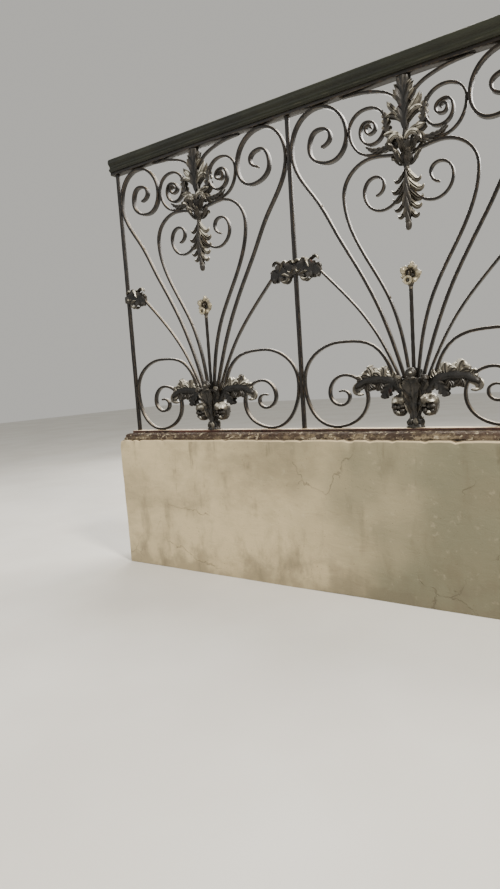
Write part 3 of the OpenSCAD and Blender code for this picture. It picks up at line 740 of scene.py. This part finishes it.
def pierced_ring(shape, centre, ring_r, tube_r, relief):
    """A closed ring of round section, open along Y."""
    x, y, z = centre
    points = []
    for j in range(RING_STEPS):
        c, s = unit(360 * j / RING_STEPS)
        for k in range(TUBE_STEPS):
            out, along = tube_r * unit(360 * k / TUBE_STEPS)
            points.append((x + (ring_r + out) * c, y + along, z + (ring_r + out) * s))
    index = np.arange(RING_STEPS * TUBE_STEPS).reshape(RING_STEPS, TUBE_STEPS)
    down, right = np.roll(index, -1, axis=0), np.roll(index, -1, axis=1)
    quads = np.stack([index, right, np.roll(down, -1, axis=1), down], -1).reshape(-1, 4).tolist()
    shape.add(roughen(points, [(5, 0.4)], ring_r), quads, 0.5, relief)


def flower():
    """A cupped flower with a hollow painted dark as shade, a scalloped rim of petals and a pierced ring under
    it.
    """
    shape = Shape()
    corolla(shape)
    pierced_ring(shape, (-4, -19, -20), 10.5, 4.2, 1.2)
    for k, (centre, radii) in enumerate(FLOWER_KNOBS):
        lump(shape, centre, radii, k, rough=0.15, wear=0.0, relief=0.0, rows=8, sides=12)
    placed = shape.moved((0, 0, FLOWER_Z))
    turned_body(placed, smooth_profile([(r, STEM_H + z) for r, z in CALYX]), 20, relief=0.1, seed=9.0)
    for i in range(6):
        leaf = Shape()
        acanthus(leaf, [(5, STEM_H - 8, 70), (10, STEM_H + 6, 60), (17, STEM_H + 16, 20)], 6, 1, lift=-0.3,
                 curl=-0.2, thick=2, rows=8, seed=i)
        placed.absorb(leaf, turn=60 * i + 15)
    return placed


# Materials, with texture sizes in metres and colours as their 0 to 255 values on screen

def rgb(tint):
    """A colour with full cover, from its values on screen."""
    shares = [v / 255 for v in tint]
    return (*(v / 12.92 if v <= 0.04045 else ((v + 0.055) / 1.055) ** 2.4 for v in shares), 1)


class Paint:
    """A material: coats of colour, then dents over each other, then the shader's own values."""

    def __init__(self, name):
        self.material = bpy.data.materials.new(name)
        self.material.use_nodes = True
        self.tree = self.material.node_tree
        self.shader = self.tree.nodes["Principled BSDF"]
        self.coord = self.node("TexCoord").outputs["Object"]
        self.colour, self.normal = None, None

    def put(self, sockets, values):
        """Gives each named socket the output of a node or a plain value."""
        for key, value in values.items():
            if isinstance(value, bpy.types.NodeSocket):
                self.tree.links.new(value, sockets[key])
            else:
                sockets[key].default_value = value

    def node(self, kind, values=None, **settings):
        made = self.tree.nodes.new("ShaderNode" + kind)
        for key, value in settings.items():
            setattr(made, key, value)
        self.put(made.inputs, values or {})
        return made

    def noise(self, size, detail=4.0, rough=0.55, distort=0.0, stretch=None):
        """Noise with lumps of a size, which are longer along an axis whose stretch is under 1."""
        place = self.coord
        if stretch:
            place = self.node("Mapping", {"Vector": place, "Scale": stretch}).outputs[0]
        return self.node("TexNoise", {"Vector": place, "Scale": 1 / size, "Detail": detail,
                                      "Roughness": rough, "Distortion": distort}).outputs["Fac"]

    def cells(self, size):
        """How far a place is from the middle of its cell."""
        return self.node("TexVoronoi", {"Vector": self.coord, "Scale": 1 / size}).outputs["Distance"]

    def value(self, label):
        return self.node("Attribute", attribute_name=label).outputs["Fac"]

    def level(self, value, low, high, least=0.0, most=1.0):
        """Goes softly from least to most, as the value goes from low to high."""
        values = {"Value": value, "From Min": low, "From Max": high, "To Min": least, "To Max": most}
        return self.node("MapRange", values, interpolation_type="SMOOTHSTEP").outputs["Result"]

    def clouds(self, low, high, least=0.0, most=1.0, **grain):
        return self.level(self.noise(**grain), low, high, least, most)

    def math(self, kind, a, b):
        return self.node("Math", {0: a, 1: b}, operation=kind).outputs[0]

    def times(self, a, b):
        return self.math("MULTIPLY", a, b)

    def part(self, vector, axis):
        return self.node("SeparateXYZ", {0: vector}).outputs[axis]

    def upward(self, low, high, least=0.0, most=1.0):
        """Goes from least to most as a surface turns up."""
        normal = self.node("NewGeometry").outputs["Normal"]
        return self.level(self.part(normal, "Z"), low, high, least, most)

    def along(self, axis, start, end, first=0.0, last=1.0, *, waver, **grain):
        """Goes from first to last between two places on an axis, which waver by so many metres."""
        place = self.math("ADD", self.part(self.coord, axis), self.clouds(0.3, 0.7, -waver, waver, **grain))
        return self.level(place, start, end, first, last)

    def mix(self, share, a, b):
        return self.node("Mix", {0: share, 6: a, 7: b}, data_type="RGBA").outputs[2]

    def ground(self, share, first, second):
        """The lowest coat, from a first colour to a second one."""
        self.colour = self.mix(share, rgb(first), rgb(second))

    def coat(self, tint, share):
        """Lays a colour over those so far, by a share of 0 to 1."""
        self.colour = self.mix(share, self.colour, rgb(tint))

    def patches(self, tint, low, high, most, **grain):
        self.coat(tint, self.clouds(low, high, 0.0, most, **grain))

    def rub(self, tint, low, high, most, full=0.9, **grain):
        """Bares a colour along worn edges, where the noise is high."""
        edge = self.times(self.value("wear"), self.clouds(low, high, **grain))
        self.coat(tint, self.level(edge, 0.1, full, 0.0, most))

    def dent(self, height, distance, strength):
        """Lays relief over the relief so far, with its distance in metres."""
        values = {"Strength": strength, "Distance": distance, "Height": height}
        if self.normal:
            values["Normal"] = self.normal
        self.normal = self.node("Bump", values).outputs[0]

    def finish(self, rough, metal=0.0, specular=0.5):
        self.put(self.shader.inputs, {"Base Color": self.colour, "Normal": self.normal, "Roughness": rough,
                                      "Metallic": metal, "Specular IOR Level": specular})
        return self.material


def painted_iron():
    p = Paint("old_painted_iron")
    p.ground(p.clouds(0.35, 0.7, size=0.05, detail=5), (13, 10, 7), (26, 20, 14))
    p.patches((78, 52, 38), 0.64, 0.74, 0.5, size=0.013, detail=5, rough=0.65)
    # Pale on faces that turn up: dust, and a painted highlight where light from above falls
    dust_and_sheen = p.times(p.upward(0.15, 0.8), p.clouds(0.3, 0.6, 0.4, 1, size=0.03, detail=5, rough=0.6))
    p.coat((152, 136, 108), p.times(dust_and_sheen, 0.5))
    # Paler along the worn corners: bare metal, and partly a painted highlight along the bars' edges
    p.rub((116, 102, 82), 0.38, 0.6, 0.4, size=0.02)
    fine = p.noise(0.004, detail=3)
    p.dent(p.noise(0.02, detail=2), 0.0006, 0.4)
    p.dent(fine, 0.00015, 0.4)
    return p.finish(p.level(fine, 0.3, 0.7, 0.33, 0.45), metal=0.3, specular=0.4)


def cast_paint():
    """Dark where relief is low, partly as painted shade in the hollows, and pale where relief is high or the
    surface turns up, partly as painted light from above.
    """
    p = Paint("pewter_castings_with_painted_light")
    worn = p.times(p.value("relief"), p.clouds(0.25, 0.6, 0.35, 1.15, size=0.03))
    # Faces that turn up are made paler: painted light from above
    tall = p.times(worn, p.upward(-0.6, 0.6, 0.5, 1.2))
    p.ground(p.clouds(0.35, 0.7, size=0.02, detail=5), (26, 23, 18), (42, 37, 30))
    # Near black where relief is lowest: painted shade on the recesses and on parts set dark
    p.coat((10, 8, 6), p.level(tall, 0.0, 0.1, 1, 0))
    p.coat((92, 87, 76), p.level(tall, 0.3, 0.75, 0, 0.8))
    # Near white where relief is highest: a painted highlight on the lit lobes and tips
    p.coat((196, 192, 178), p.level(tall, 0.75, 1.1))
    p.patches((92, 54, 46), 0.68, 0.74, 0.4, size=0.06, detail=3, rough=0.5, distort=0.6)
    grit = p.noise(0.003)
    p.dent(p.noise(0.009), 0.0014, 0.7)
    p.dent(grit, 0.0005, 0.5)
    rough = p.math("ADD", p.level(grit, 0.3, 0.7, 0.34, 0.55), p.level(tall, 0.0, 0.1, 0.2, 0))
    return p.finish(rough, metal=p.level(tall, 0.5, 1, 0.1, 0.5))


def flower_paint():
    p = Paint("pale_flower_metal")
    tall = p.times(p.value("relief"), p.clouds(0.2, 0.6, 0.6, 1.2, size=0.012))
    p.ground(p.clouds(0.35, 0.65, size=0.006), (48, 42, 34), (76, 69, 56))
    p.coat((158, 150, 128), p.level(tall, 0.15, 0.8))
    p.patches((84, 78, 64), 0.52, 0.62, 0.5, size=0.007, detail=3)
    grit = p.noise(0.002)
    p.dent(grit, 0.0004, 0.6)
    return p.finish(p.level(grit, 0.3, 0.7, 0.3, 0.5), metal=p.level(tall, 0.3, 0.8, 0.1, 0.55))


def handrail_paint():
    p = Paint("olive_handrail_paint")
    p.ground(p.clouds(0.35, 0.65, size=0.09, detail=5, rough=0.6, stretch=(0.5, 1, 1)), (21, 23, 16),
             (33, 35, 24))
    p.rub((74, 72, 56), 0.42, 0.62, 0.35, size=0.04)
    p.patches((50, 36, 26), 0.66, 0.74, 0.4, size=0.016, detail=6, rough=0.7)
    grit = p.noise(0.004)
    p.dent(p.noise(0.04, detail=3, rough=0.5, stretch=(0.4, 1, 1)), 0.0005, 0.5)
    p.dent(grit, 0.0003, 0.4)
    return p.finish(p.level(grit, 0.3, 0.7, 0.42, 0.58), metal=0.1, specular=0.35)


def rusty_paint():
    p = Paint("rusty_bottom_rail")
    bare_metal_and_highlight = (196, 178, 150)
    flakes = p.noise(0.03, detail=6, rough=0.65, distort=0.3)
    p.ground(p.level(flakes, 0.35, 0.6), (38, 22, 15), (66, 38, 29))
    p.patches((104, 62, 52), 0.52, 0.64, 0.6, size=0.35, detail=3, rough=0.5, stretch=(1, 0.2, 0.2))
    # Pale on the top face and worn edges: bare metal, and a painted highlight on the lit top edge
    p.coat(bare_metal_and_highlight, p.times(p.upward(0.6, 0.95), p.clouds(0.3, 0.5, 0.5, 1, size=0.05, detail=5, rough=0.6)))
    p.rub(bare_metal_and_highlight, 0.36, 0.55, 0.85, full=0.8, size=0.03, rough=0.6, stretch=(0.4, 1, 1))
    pits = p.noise(0.005, detail=5, rough=0.7)
    p.dent(flakes, 0.0012, 0.8)
    p.dent(pits, 0.0008, 0.7)
    return p.finish(p.level(pits, 0.3, 0.7, 0.55, 0.85), metal=0.05)


def cracks(p, per_metre, bends_per_metre, sway):
    """Thin lines between large cells, bent by noise, and only where another noise is high."""
    bends = p.node("TexNoise", {"Vector": p.coord, "Scale": bends_per_metre, "Detail": 4.0}).outputs["Color"]
    moved = p.node("VectorMath", {0: bends, "Scale": sway}, operation="SCALE").outputs[0]
    bent = p.node("VectorMath", {0: p.coord, 1: moved}, operation="ADD").outputs[0]
    web = p.node("TexVoronoi", {"Vector": bent, "Scale": per_metre}, feature="DISTANCE_TO_EDGE")
    line = p.level(web.outputs["Distance"], 0.0015, 0.0045, 1, 0)
    return p.times(line, p.clouds(0.54, 0.6, size=0.35, detail=2))


def plaster_paint():
    """Pale at the left end and darker and greener at the right, partly as painted shade, with stains that run
    down and a dark foot.
    """
    p = Paint("weathered_plaster")
    # Darker towards the right: partly painted shade
    p.ground(p.along("X", -0.85, 0.15, waver=0.25, size=0.5, detail=3), (203, 186, 148), (116, 113, 91))
    p.patches((120, 111, 88), 0.42, 0.7, 0.6, size=0.42, detail=8, rough=0.68, distort=0.3,
              stretch=(0.7, 1, 1.3))
    p.patches((104, 96, 76), 0.5, 0.72, 0.5, size=0.1, detail=5, rough=0.6, distort=0.2, stretch=(1, 1, 0.4))
    p.patches((198, 186, 156), 0.6, 0.74, 0.2, size=0.028, detail=5, rough=0.6)
    drip = p.times(p.clouds(0.57, 0.68, size=0.045, rough=0.6, stretch=(1, 1, 0.1)),
                   p.along("Z", 0.3, 0.56, waver=0.2, size=0.07, detail=2))
    p.coat((88, 80, 62), p.times(drip, 0.5))
    p.coat((104, 96, 78), p.along("Z", 0.0, 0.12, 0.5, 0, waver=0.06, size=0.08))
    # Darker on faces that turn up: dirt, and painted shade along the foot of the mortar
    p.coat((84, 70, 52), p.times(p.upward(0.8, 0.98), p.clouds(0.3, 0.5, 0.5, 0.9, size=0.03, detail=5)))
    p.coat((202, 184, 148), p.level(p.value("wear"), 0.25, 0.8, 0, 0.85))
    p.patches((96, 86, 66), 0.66, 0.72, 0.5, size=0.007, detail=3, rough=0.6)
    crack = cracks(p, per_metre=2.1, bends_per_metre=22.0, sway=0.08)
    p.coat((84, 76, 60), p.times(crack, 0.4))
    grain = p.noise(0.0035, rough=0.65)
    p.dent(p.noise(0.06, rough=0.5, distort=1.2, stretch=(1, 1, 2.2)), 0.003, 0.5)
    p.dent(p.level(p.cells(0.014), 0.1, 0.3), 0.0012, 0.2)
    p.dent(grain, 0.0009, 0.5)
    p.dent(crack, -0.002, 0.8)
    return p.finish(p.level(grain, 0.3, 0.7, 0.78, 0.94))


def mortar_paint():
    """Brown and crumbling, darker under the rail from rust stain and painted shade, with pale specks of sand.
    """
    p = Paint("rough_mortar")
    p.ground(p.clouds(0.42, 0.6, size=0.045, detail=6, rough=0.65), (56, 43, 31), (122, 109, 86))
    # Dark over its upper part, under the rail: rust stain and painted shade
    p.coat((52, 38, 28), p.times(p.along("Z", 0.549, 0.558, waver=0.006, size=0.025), 0.8))
    p.patches((66, 48, 34), 0.45, 0.6, 0.5, size=0.5, detail=2, rough=0.5)
    p.patches((38, 27, 19), 0.56, 0.66, 0.85, size=0.012, detail=5, rough=0.7)
    p.patches((172, 160, 134), 0.57, 0.64, 0.8, size=0.018, rough=0.6, distort=0.5)
    grain = p.noise(0.004, detail=5, rough=0.7)
    p.dent(p.noise(0.016, rough=0.6), 0.005, 0.9)
    p.dent(grain, 0.0018, 0.9)
    return p.finish(p.level(grain, 0.3, 0.7, 0.8, 0.96))


# Looks of each slot: its material, and the angle over which an edge between two faces is drawn sharp
LOOKS = {
    "wrought_iron": (painted_iron(), 38.0),
    "cast_leaves": (cast_paint(), 50.0),
    "flower_metal": (flower_paint(), 50.0),
    "handrail_iron": (handrail_paint(), 34.0),
    "rusty_rail": (rusty_paint(), 38.0),
    "plaster": (plaster_paint(), 60.0),
    "mortar": (mortar_paint(), 80.0)}


# The bays

# Bars of a bay: curve, thickness, depth, share of the thickness at the tip, length of the taper, flare
BARS = {
    "lyre_stems": (LYRE, LYRE_T, BAR_D, 0.9, 30, 0),
    "tall_scrolls": (TALL, SCROLL_T, BAR_D, 0.8, 60, 0.4),
    "spray_stems": (SPRAY, SPRAY_T, BAR_D, 0.8, 30, 0),
    "low_scrolls": (LOW, SCROLL_T, BAR_D, 0.7, 80, 0.2),
    "volutes": (VOLUTE, VOLUTE_T, VOLUTE_D, 0.8, 120, 0.55),
    "pendant_scrolls": (PENDANT, VOLUTE_T, VOLUTE_D, 0.85, 40, 0.3),
    "rail_braces": (BRACE, SPRAY_T, BAR_D, 0.3, 90, 0)}

# Castings of a bay: shape, slot
CASTINGS = {
    "base_casting": (base_casting(), "cast_leaves"),
    "crown_casting": (crown_casting(), "cast_leaves"),
    "pendant_leaf": (pendant_leaf(), "cast_leaves"),
    "flower": (flower(), "flower_metal")}

# Weld beads of a bay: x, z, half sizes in x, y and z, how far from the middle plane
WELDS = [
    (VOLUTE_SIDE[0] + VOLUTE_T / 2, VOLUTE_SIDE[1], (3.2, 2.4, 8), 5),
    (VOLUTE_FOOT[0], VOLUTE_FOOT[1] - VOLUTE_T / 2, (9, 2.4, 3), 5),
    (BAR_EDGE, TALL_SIDE_Z, (3, 2.6, 9), 6), (TALL_TOP_X, FIELD_H, (10, 2.8, 3), 6),
    (BAR_EDGE, LOW_SIDE_Z, (3, 2.6, 9), 6), (LOW_FOOT_X, 1, (12, 3, 3), 6),
    (BRACE_TOP_X, FIELD_H, (8, 2.6, 3), 6)]

# Knots of a curve that are covered by a lump where pieces were joined: knot, half sizes
JOINTS = [(TALL[3], (7.5, 8, 8)), (LYRE[1], (6.2, 7.6, 7))]

CENTRE_STEM_FOOT, CENTRE_STEM_RINGS = 120, 31


def centre_stem(seed):
    """A round bar from inside the base casting up to the flower, never quite even."""
    shape, profile = Shape(), []
    for k in range(CENTRE_STEM_RINGS):
        z = CENTRE_STEM_FOOT + (STEM_H - CENTRE_STEM_FOOT) * k / (CENTRE_STEM_RINGS - 1)
        profile.append((CENTRE_STEM_R * (1 + 0.05 * math.sin(k * 1.7)), z))
    turned_body(shape, profile, 14, relief=0.5, seed=seed)
    return shape


def weld_beads(number, x):
    """Beads where bars touch, on both faces and both sides of a bay."""
    beads = Shape()
    for k, (bx, bz, radii, y) in enumerate(WELDS):
        for flip in (-1, 1):
            for face in (-1, 1):
                seed = number * 7 + k + flip * 0.3 + face * 0.1
                lump(beads, (x + flip * bx, face * y, bz), radii, seed, rough=0.5)
    for k, (knot, radii) in enumerate(JOINTS):
        for flip, size in ((-1, 1.0), (1, 0.9)):
            lump(beads, (x + flip * knot[0], 0, knot[1]), [size * r for r in radii], number * 5 + k + flip,
                 rough=0.3, wear=0.9)
    return beads


for number, (bay, x) in enumerate(BAYS.items()):
    for k, (kind, sizes) in enumerate(BARS.items()):
        shape = Shape()
        for flip in (-1, 1):
            bar(shape, *sizes, number * 10 + k + 0.37 * flip, x, flip)
        make_piece(f"{bay}_{kind}", "forged", shape, "wrought_iron")
    make_piece(f"{bay}_centre_stem", "forged", centre_stem(number), "wrought_iron", x)
    for kind, (shape, slot) in CASTINGS.items():
        make_piece(f"{bay}_{kind}", "cast", shape, slot, x)
    make_piece(bay, "weld_beads", weld_beads(number, x), "wrought_iron", stands=False)


# The frame round the bays

# Shares of the outline's size in the rings that close an end
END_RINGS = [0.02, 0.3, 0.6, 0.85]


def along_x(outline, wear, step, rough, seed, change=None):
    """A piece as long as the screen, with one outline of (y, z) points all along it. A change is a
    function that moves its points after they were roughened."""
    count = int(TOTAL_L / step)
    outline = np.array(outline, float)
    middle = outline.mean(axis=0)
    places = [(-TOTAL_L / 2, size) for size in END_RINGS]
    places += [(-TOTAL_L / 2 + TOTAL_L * i / count, 1.0) for i in range(count + 1)]
    places += [(TOTAL_L / 2, size) for size in reversed(END_RINGS)]
    rows, wears = [], []
    for x, size in places:
        ring = middle + (outline - middle) * size
        rows.append(np.stack([np.full(len(ring), x), ring[:, 0], ring[:, 1]], -1))
        wears.append(np.array(wear) * (size == 1.0))
    loops = roughen(np.array(rows), rough, seed)
    if change:
        for p in loops.reshape(-1, 3):
            change(p)
    shape = Shape()
    shape.skin(loops, np.array(wears))
    return shape


def spread(points, gap):
    """The same closed outline with points no further apart than the gap."""
    out = []
    for a, b in zip(points, points[1:] + points[:1]):
        a, b = np.array(a, float), np.array(b, float)
        n = max(1, math.ceil(np.linalg.norm(b - a) / gap))
        out += [tuple(a + (b - a) * k / n) for k in range(n)]
    return out


def arc(centre, r, start, end, steps):
    """Points of an arc between two angles in degrees."""
    return [tuple(np.array(centre) + r * unit(start + (end - start) * k / steps)) for k in range(steps + 1)]


def mirrored(outline):
    """The whole outline, from its half on the side of positive y."""
    return outline + [(-y, z) for y, z in reversed(outline)]


# Depths of the chips and of the softer wear along the parapet's edges
CHIP_DEPTH, SAG_DEPTH = 16, 2.2


def parapet():
    """Plaster that is never quite flat, with a worn and chipped edge along the top."""
    half = PARAPET_T / 2
    corner = arc((half - ARRIS_R, PARAPET_H - ARRIS_R), ARRIS_R, 0, 90, 4)
    outline = spread(mirrored([(half, 0)] + corner), 13)
    wear = [math.exp(-((abs(y) - half + 2) ** 2 + (z - PARAPET_H + 2) ** 2) / 16) for y, z in outline]

    def chip(p):
        near = math.exp(-((abs(p[1]) - half) ** 2 + (p[2] - PARAPET_H) ** 2) / 500)
        if near > 0.05:
            bite = max(0.0, swell(p[0] / 26, math.copysign(4, p[1]), 0.5) - 0.22)
            sag = max(0.0, swell(p[0] / 150, math.copysign(9, p[1]), 2.5))
            push = near * (CHIP_DEPTH * bite + SAG_DEPTH * sag)
            p[1] -= math.copysign(push, p[1])
            p[2] -= push
        p[2] = max(0.0, p[2])

    return along_x(outline, wear, 13, [(300, 2.4), (80, 1.3), (22, 0.5)], 1.0, chip)


# Half section of the mortar bed, as (distance in from its side, height)
MORTAR_SIDE = [(0, 0), (2, 6), (9, 10), (12, 17), (24, MORTAR_H)]

# How far its sides wander in long waves and in short ones, how far out at most, and its loose crumbs
WANDER, CRUMBLE, MOST_OUT = 7.0, 5.0, 5.0
CRUMBS = 360


def mortar_bed():
    """Trowelled by eye, so that its sides wander and crumble."""
    half = MORTAR_W / 2
    outline = spread(mirrored([(half - inset, z) for inset, z in MORTAR_SIDE]), 5.0)

    def crumble(p):
        if abs(p[1]) / half > 0.6:
            out = WANDER * swell(p[0] / 60, math.copysign(3, p[1]), 0)
            out += CRUMBLE * swell(p[0] / 15, math.copysign(5, p[1]), p[2] / 14)
            p[1] += math.copysign(min(MOST_OUT, out), p[1])
        p[2] = max(-1.0, min(MORTAR_H + 0.6, p[2]))
        if abs(p[1]) < RAIL_W / 2 + 2:
            p[2] = min(MORTAR_H, p[2])

    shape = along_x(outline, [0.0] * len(outline), 5.0, [(16, 3.2), (6, 1.6)], 2.0, crumble)
    dice = random.Random(7)
    for k in range(CRUMBS):
        face = dice.choice((-1, 1))
        r = dice.uniform(1.5, 4.5)
        reach = dice.uniform(0, 20)
        z = max(0.4 * r, 20 - reach + dice.uniform(-2, 1))
        place = (dice.uniform(-TOTAL_L / 2 + 8, TOTAL_L / 2 - 8), face * (half - 18 + reach), z)
        radii = (r * dice.uniform(0.9, 1.8), r, r * dice.uniform(0.6, 0.9))
        lump(shape, place, radii, k * 0.37, rough=0.5, wear=0.0, rows=4, sides=7)
    return shape


def flat_rail(width, thick, corner, z, step, rough, seed):
    """A flat bar as long as the screen, with its lower face at z."""
    ring, wear = section(width / 2, thick / 2, corner)
    return along_x(ring + np.array([0, z + thick / 2]), wear, step, rough, seed)


def handrail():
    """A moulded rail: a round cap over a narrower neck, worn along the cap's top and the neck's bead."""
    half = HANDRAIL_W / 2
    neck = half - GROOVE_D
    side = ([(neck - 2, 0), (neck, 2)] + arc((neck, 8), 5, -70, 80, 6) + [(neck - 0.5, 15), (neck - 1, 20)]
            + arc((half - CAP_R, HANDRAIL_H - CAP_R), CAP_R, -58, 90, 12))
    outline, wear = mirrored(side), []
    for y, z in outline:
        on_cap = z > HANDRAIL_H - 6 and abs(y) > half - CAP_R
        on_bead = 6 < z < 10 and abs(y) > neck + 3
        wear.append(1.0 if on_cap else 0.6 if on_bead else 0.0)
    outline = np.array(outline) + np.array([0, RAIL_TOP + FIELD_H + UNDER_T])
    return along_x(outline, wear, 22, [(90, 0.5), (25, 0.15)], 5.0)


UPRIGHT_STEPS = 60


def upright(shape, x, seed):
    """A square bar between the rails, never quite even."""
    ring, ring_wear = section(DIVIDER_W / 2, DIVIDER_W / 2, SQUARE_CORNER)
    zs = [0, 0.01] + [FIELD_H * k / UPRIGHT_STEPS for k in range(1, UPRIGHT_STEPS)] + [FIELD_H - TOUCH]
    loops = np.array([[(x + a, b, z) for a, b in ring] for z in zs])
    shape.skin(roughen(loops, [(70, 0.5), (10, 0.2)], seed), np.tile(ring_wear, (len(zs), 1)), 0.4)


make_piece("parapet", "plastered", parapet(), "plaster", z=0)
make_piece("mortar_bed", "rough", mortar_bed(), "mortar", z=PARAPET_H)
bottom = flat_rail(RAIL_W, RAIL_T, SQUARE_CORNER, RAIL_TOP - RAIL_T, 11, [(30, 0.35), (8, 0.2)], 3.0)
make_piece("bottom_rail", "rusty", bottom, "rusty_rail", z=0)
under = flat_rail(UNDER_W, UNDER_T, UNDER_CORNER, RAIL_TOP + FIELD_H, 24, [(60, 0.3)], 4.0)
make_piece("under_rail", "forged", under, "wrought_iron", z=0)
make_piece("handrail", "moulded", handrail(), "handrail_iron", z=0)

for label, places in (("end_bars", (-1.5, 1.5)), ("divider_bars", (-0.5, 0.5))):
    shape, beads = Shape(), Shape()
    for k, place in enumerate(places):
        x = place * BAY_W
        upright(shape, x, k + 2.0)
        for z in (0, FIELD_H - 1):
            for side in (-DIVIDER_W / 2, DIVIDER_W / 2):
                turn = math.copysign(1, side)
                lump(beads, (x, side, z), (8, 2.6, 3), k + z + turn, rough=0.5, wear=0.7)
                lump(beads, (x + side, 0, z), (2.6, 7, 3), k + z - turn, rough=0.5, wear=0.7)
    make_piece(label, "forged", shape, "wrought_iron")
    make_piece(label, "welds", beads, "wrought_iron", stands=False)

# Uprights in bays from the middle, and the sides on which their leaves grow
leaves = Shape()
for k, (place, sides) in enumerate(((-1.5, (1,)), (-0.5, (-1, 1)), (0.5, (-1, 1)), (1.5, (-1,)))):
    leaves.absorb(divider_leaf(sides, 60.0 + k), shift=(place * BAY_W, 0, DIVIDER_LEAF_Z))
make_piece("divider_leaves", "cast", leaves, "cast_leaves")


# Floor, light and camera, in metres

FLOOR_REACH, FLOOR_Z = 14.0, -0.0005

# Lights: name, place, target, size, power, colour
LIGHTS = [
    ("key_light", (3.2, -1.8, 3.8), (0, 0, 1.0), 1.0, 380, (1.0, 0.94, 0.85)),
    ("fill_light", (-2.6, -3.6, 2.2), (0, 0, 0.9), 3.4, 45, (0.97, 0.98, 1.0)),
    ("back_light", (0.5, 3.4, 3.8), (0, 0, 1.2), 3.4, 340, (1.0, 0.96, 0.9)),
    ("side_back_light", (-2.6, 3.2, 2.6), (0, 0, 1.1), 2.6, 120, (1.0, 0.97, 0.92))]
WORLD_TINT, WORLD_STRENGTH = (206, 204, 198), 0.85

# The photograph's camera: place, turns, and focal length and height in the photograph's pixels
CAMERA_PLACE = (0.6457, -1.9206, 0.7695)
YAW, PITCH, ROLL = math.radians(34.24), math.radians(6.35), math.radians(3.86)
FOCAL_PX, PHOTO_PX, SENSOR_MM = 598.1, 889, 36.0


def floor():
    """A plain pale floor, just under the part's foot."""
    mesh = bpy.data.meshes.new("studio_floor")
    corners = [(x * FLOOR_REACH, y * FLOOR_REACH, FLOOR_Z) for x, y in ((-1, -1), (1, -1), (1, 1), (-1, 1))]
    mesh.from_pydata(corners, [], [(0, 1, 2, 3)])
    p = Paint("pale_floor")
    p.ground(p.clouds(0.3, 0.7, size=0.6, detail=3), (214, 211, 204), (222, 220, 214))
    p.dent(p.noise(0.01, detail=3), 0.0003, 0.3)
    mesh.materials.append(p.finish(0.9))
    plane = bpy.data.objects.new("studio_floor", mesh)
    bpy.context.scene.collection.objects.link(plane)


floor()
for name, place, target, size, power, colour in LIGHTS:
    lamp = bpy.data.lights.new(name, "AREA")
    lamp.shape, lamp.size, lamp.energy, lamp.color = "DISK", size, power, colour
    light = bpy.data.objects.new(name, lamp)
    light.location = place
    light.rotation_euler = (Vector(target) - Vector(place)).to_track_quat("-Z", "Y").to_euler()
    bpy.context.scene.collection.objects.link(light)

world = bpy.data.worlds.new("pale_studio")
bpy.context.scene.world = world
world.use_nodes = True
world.node_tree.nodes["Background"].inputs["Color"].default_value = rgb(WORLD_TINT)
world.node_tree.nodes["Background"].inputs["Strength"].default_value = WORLD_STRENGTH

camera_data = bpy.data.cameras.new("photo_camera")
camera_data.sensor_fit = "AUTO"
camera_data.sensor_width = SENSOR_MM
camera_data.lens = SENSOR_MM * FOCAL_PX / PHOTO_PX
camera = bpy.data.objects.new("photo_camera", camera_data)
aim = Matrix.Rotation(YAW, 4, "Z") @ Matrix.Rotation(math.pi / 2 - PITCH, 4, "X")
camera.matrix_world = Matrix.Translation(CAMERA_PLACE) @ aim @ Matrix.Rotation(-ROLL, 4, "Z")
bpy.context.scene.collection.objects.link(camera)
bpy.context.scene.camera = camera
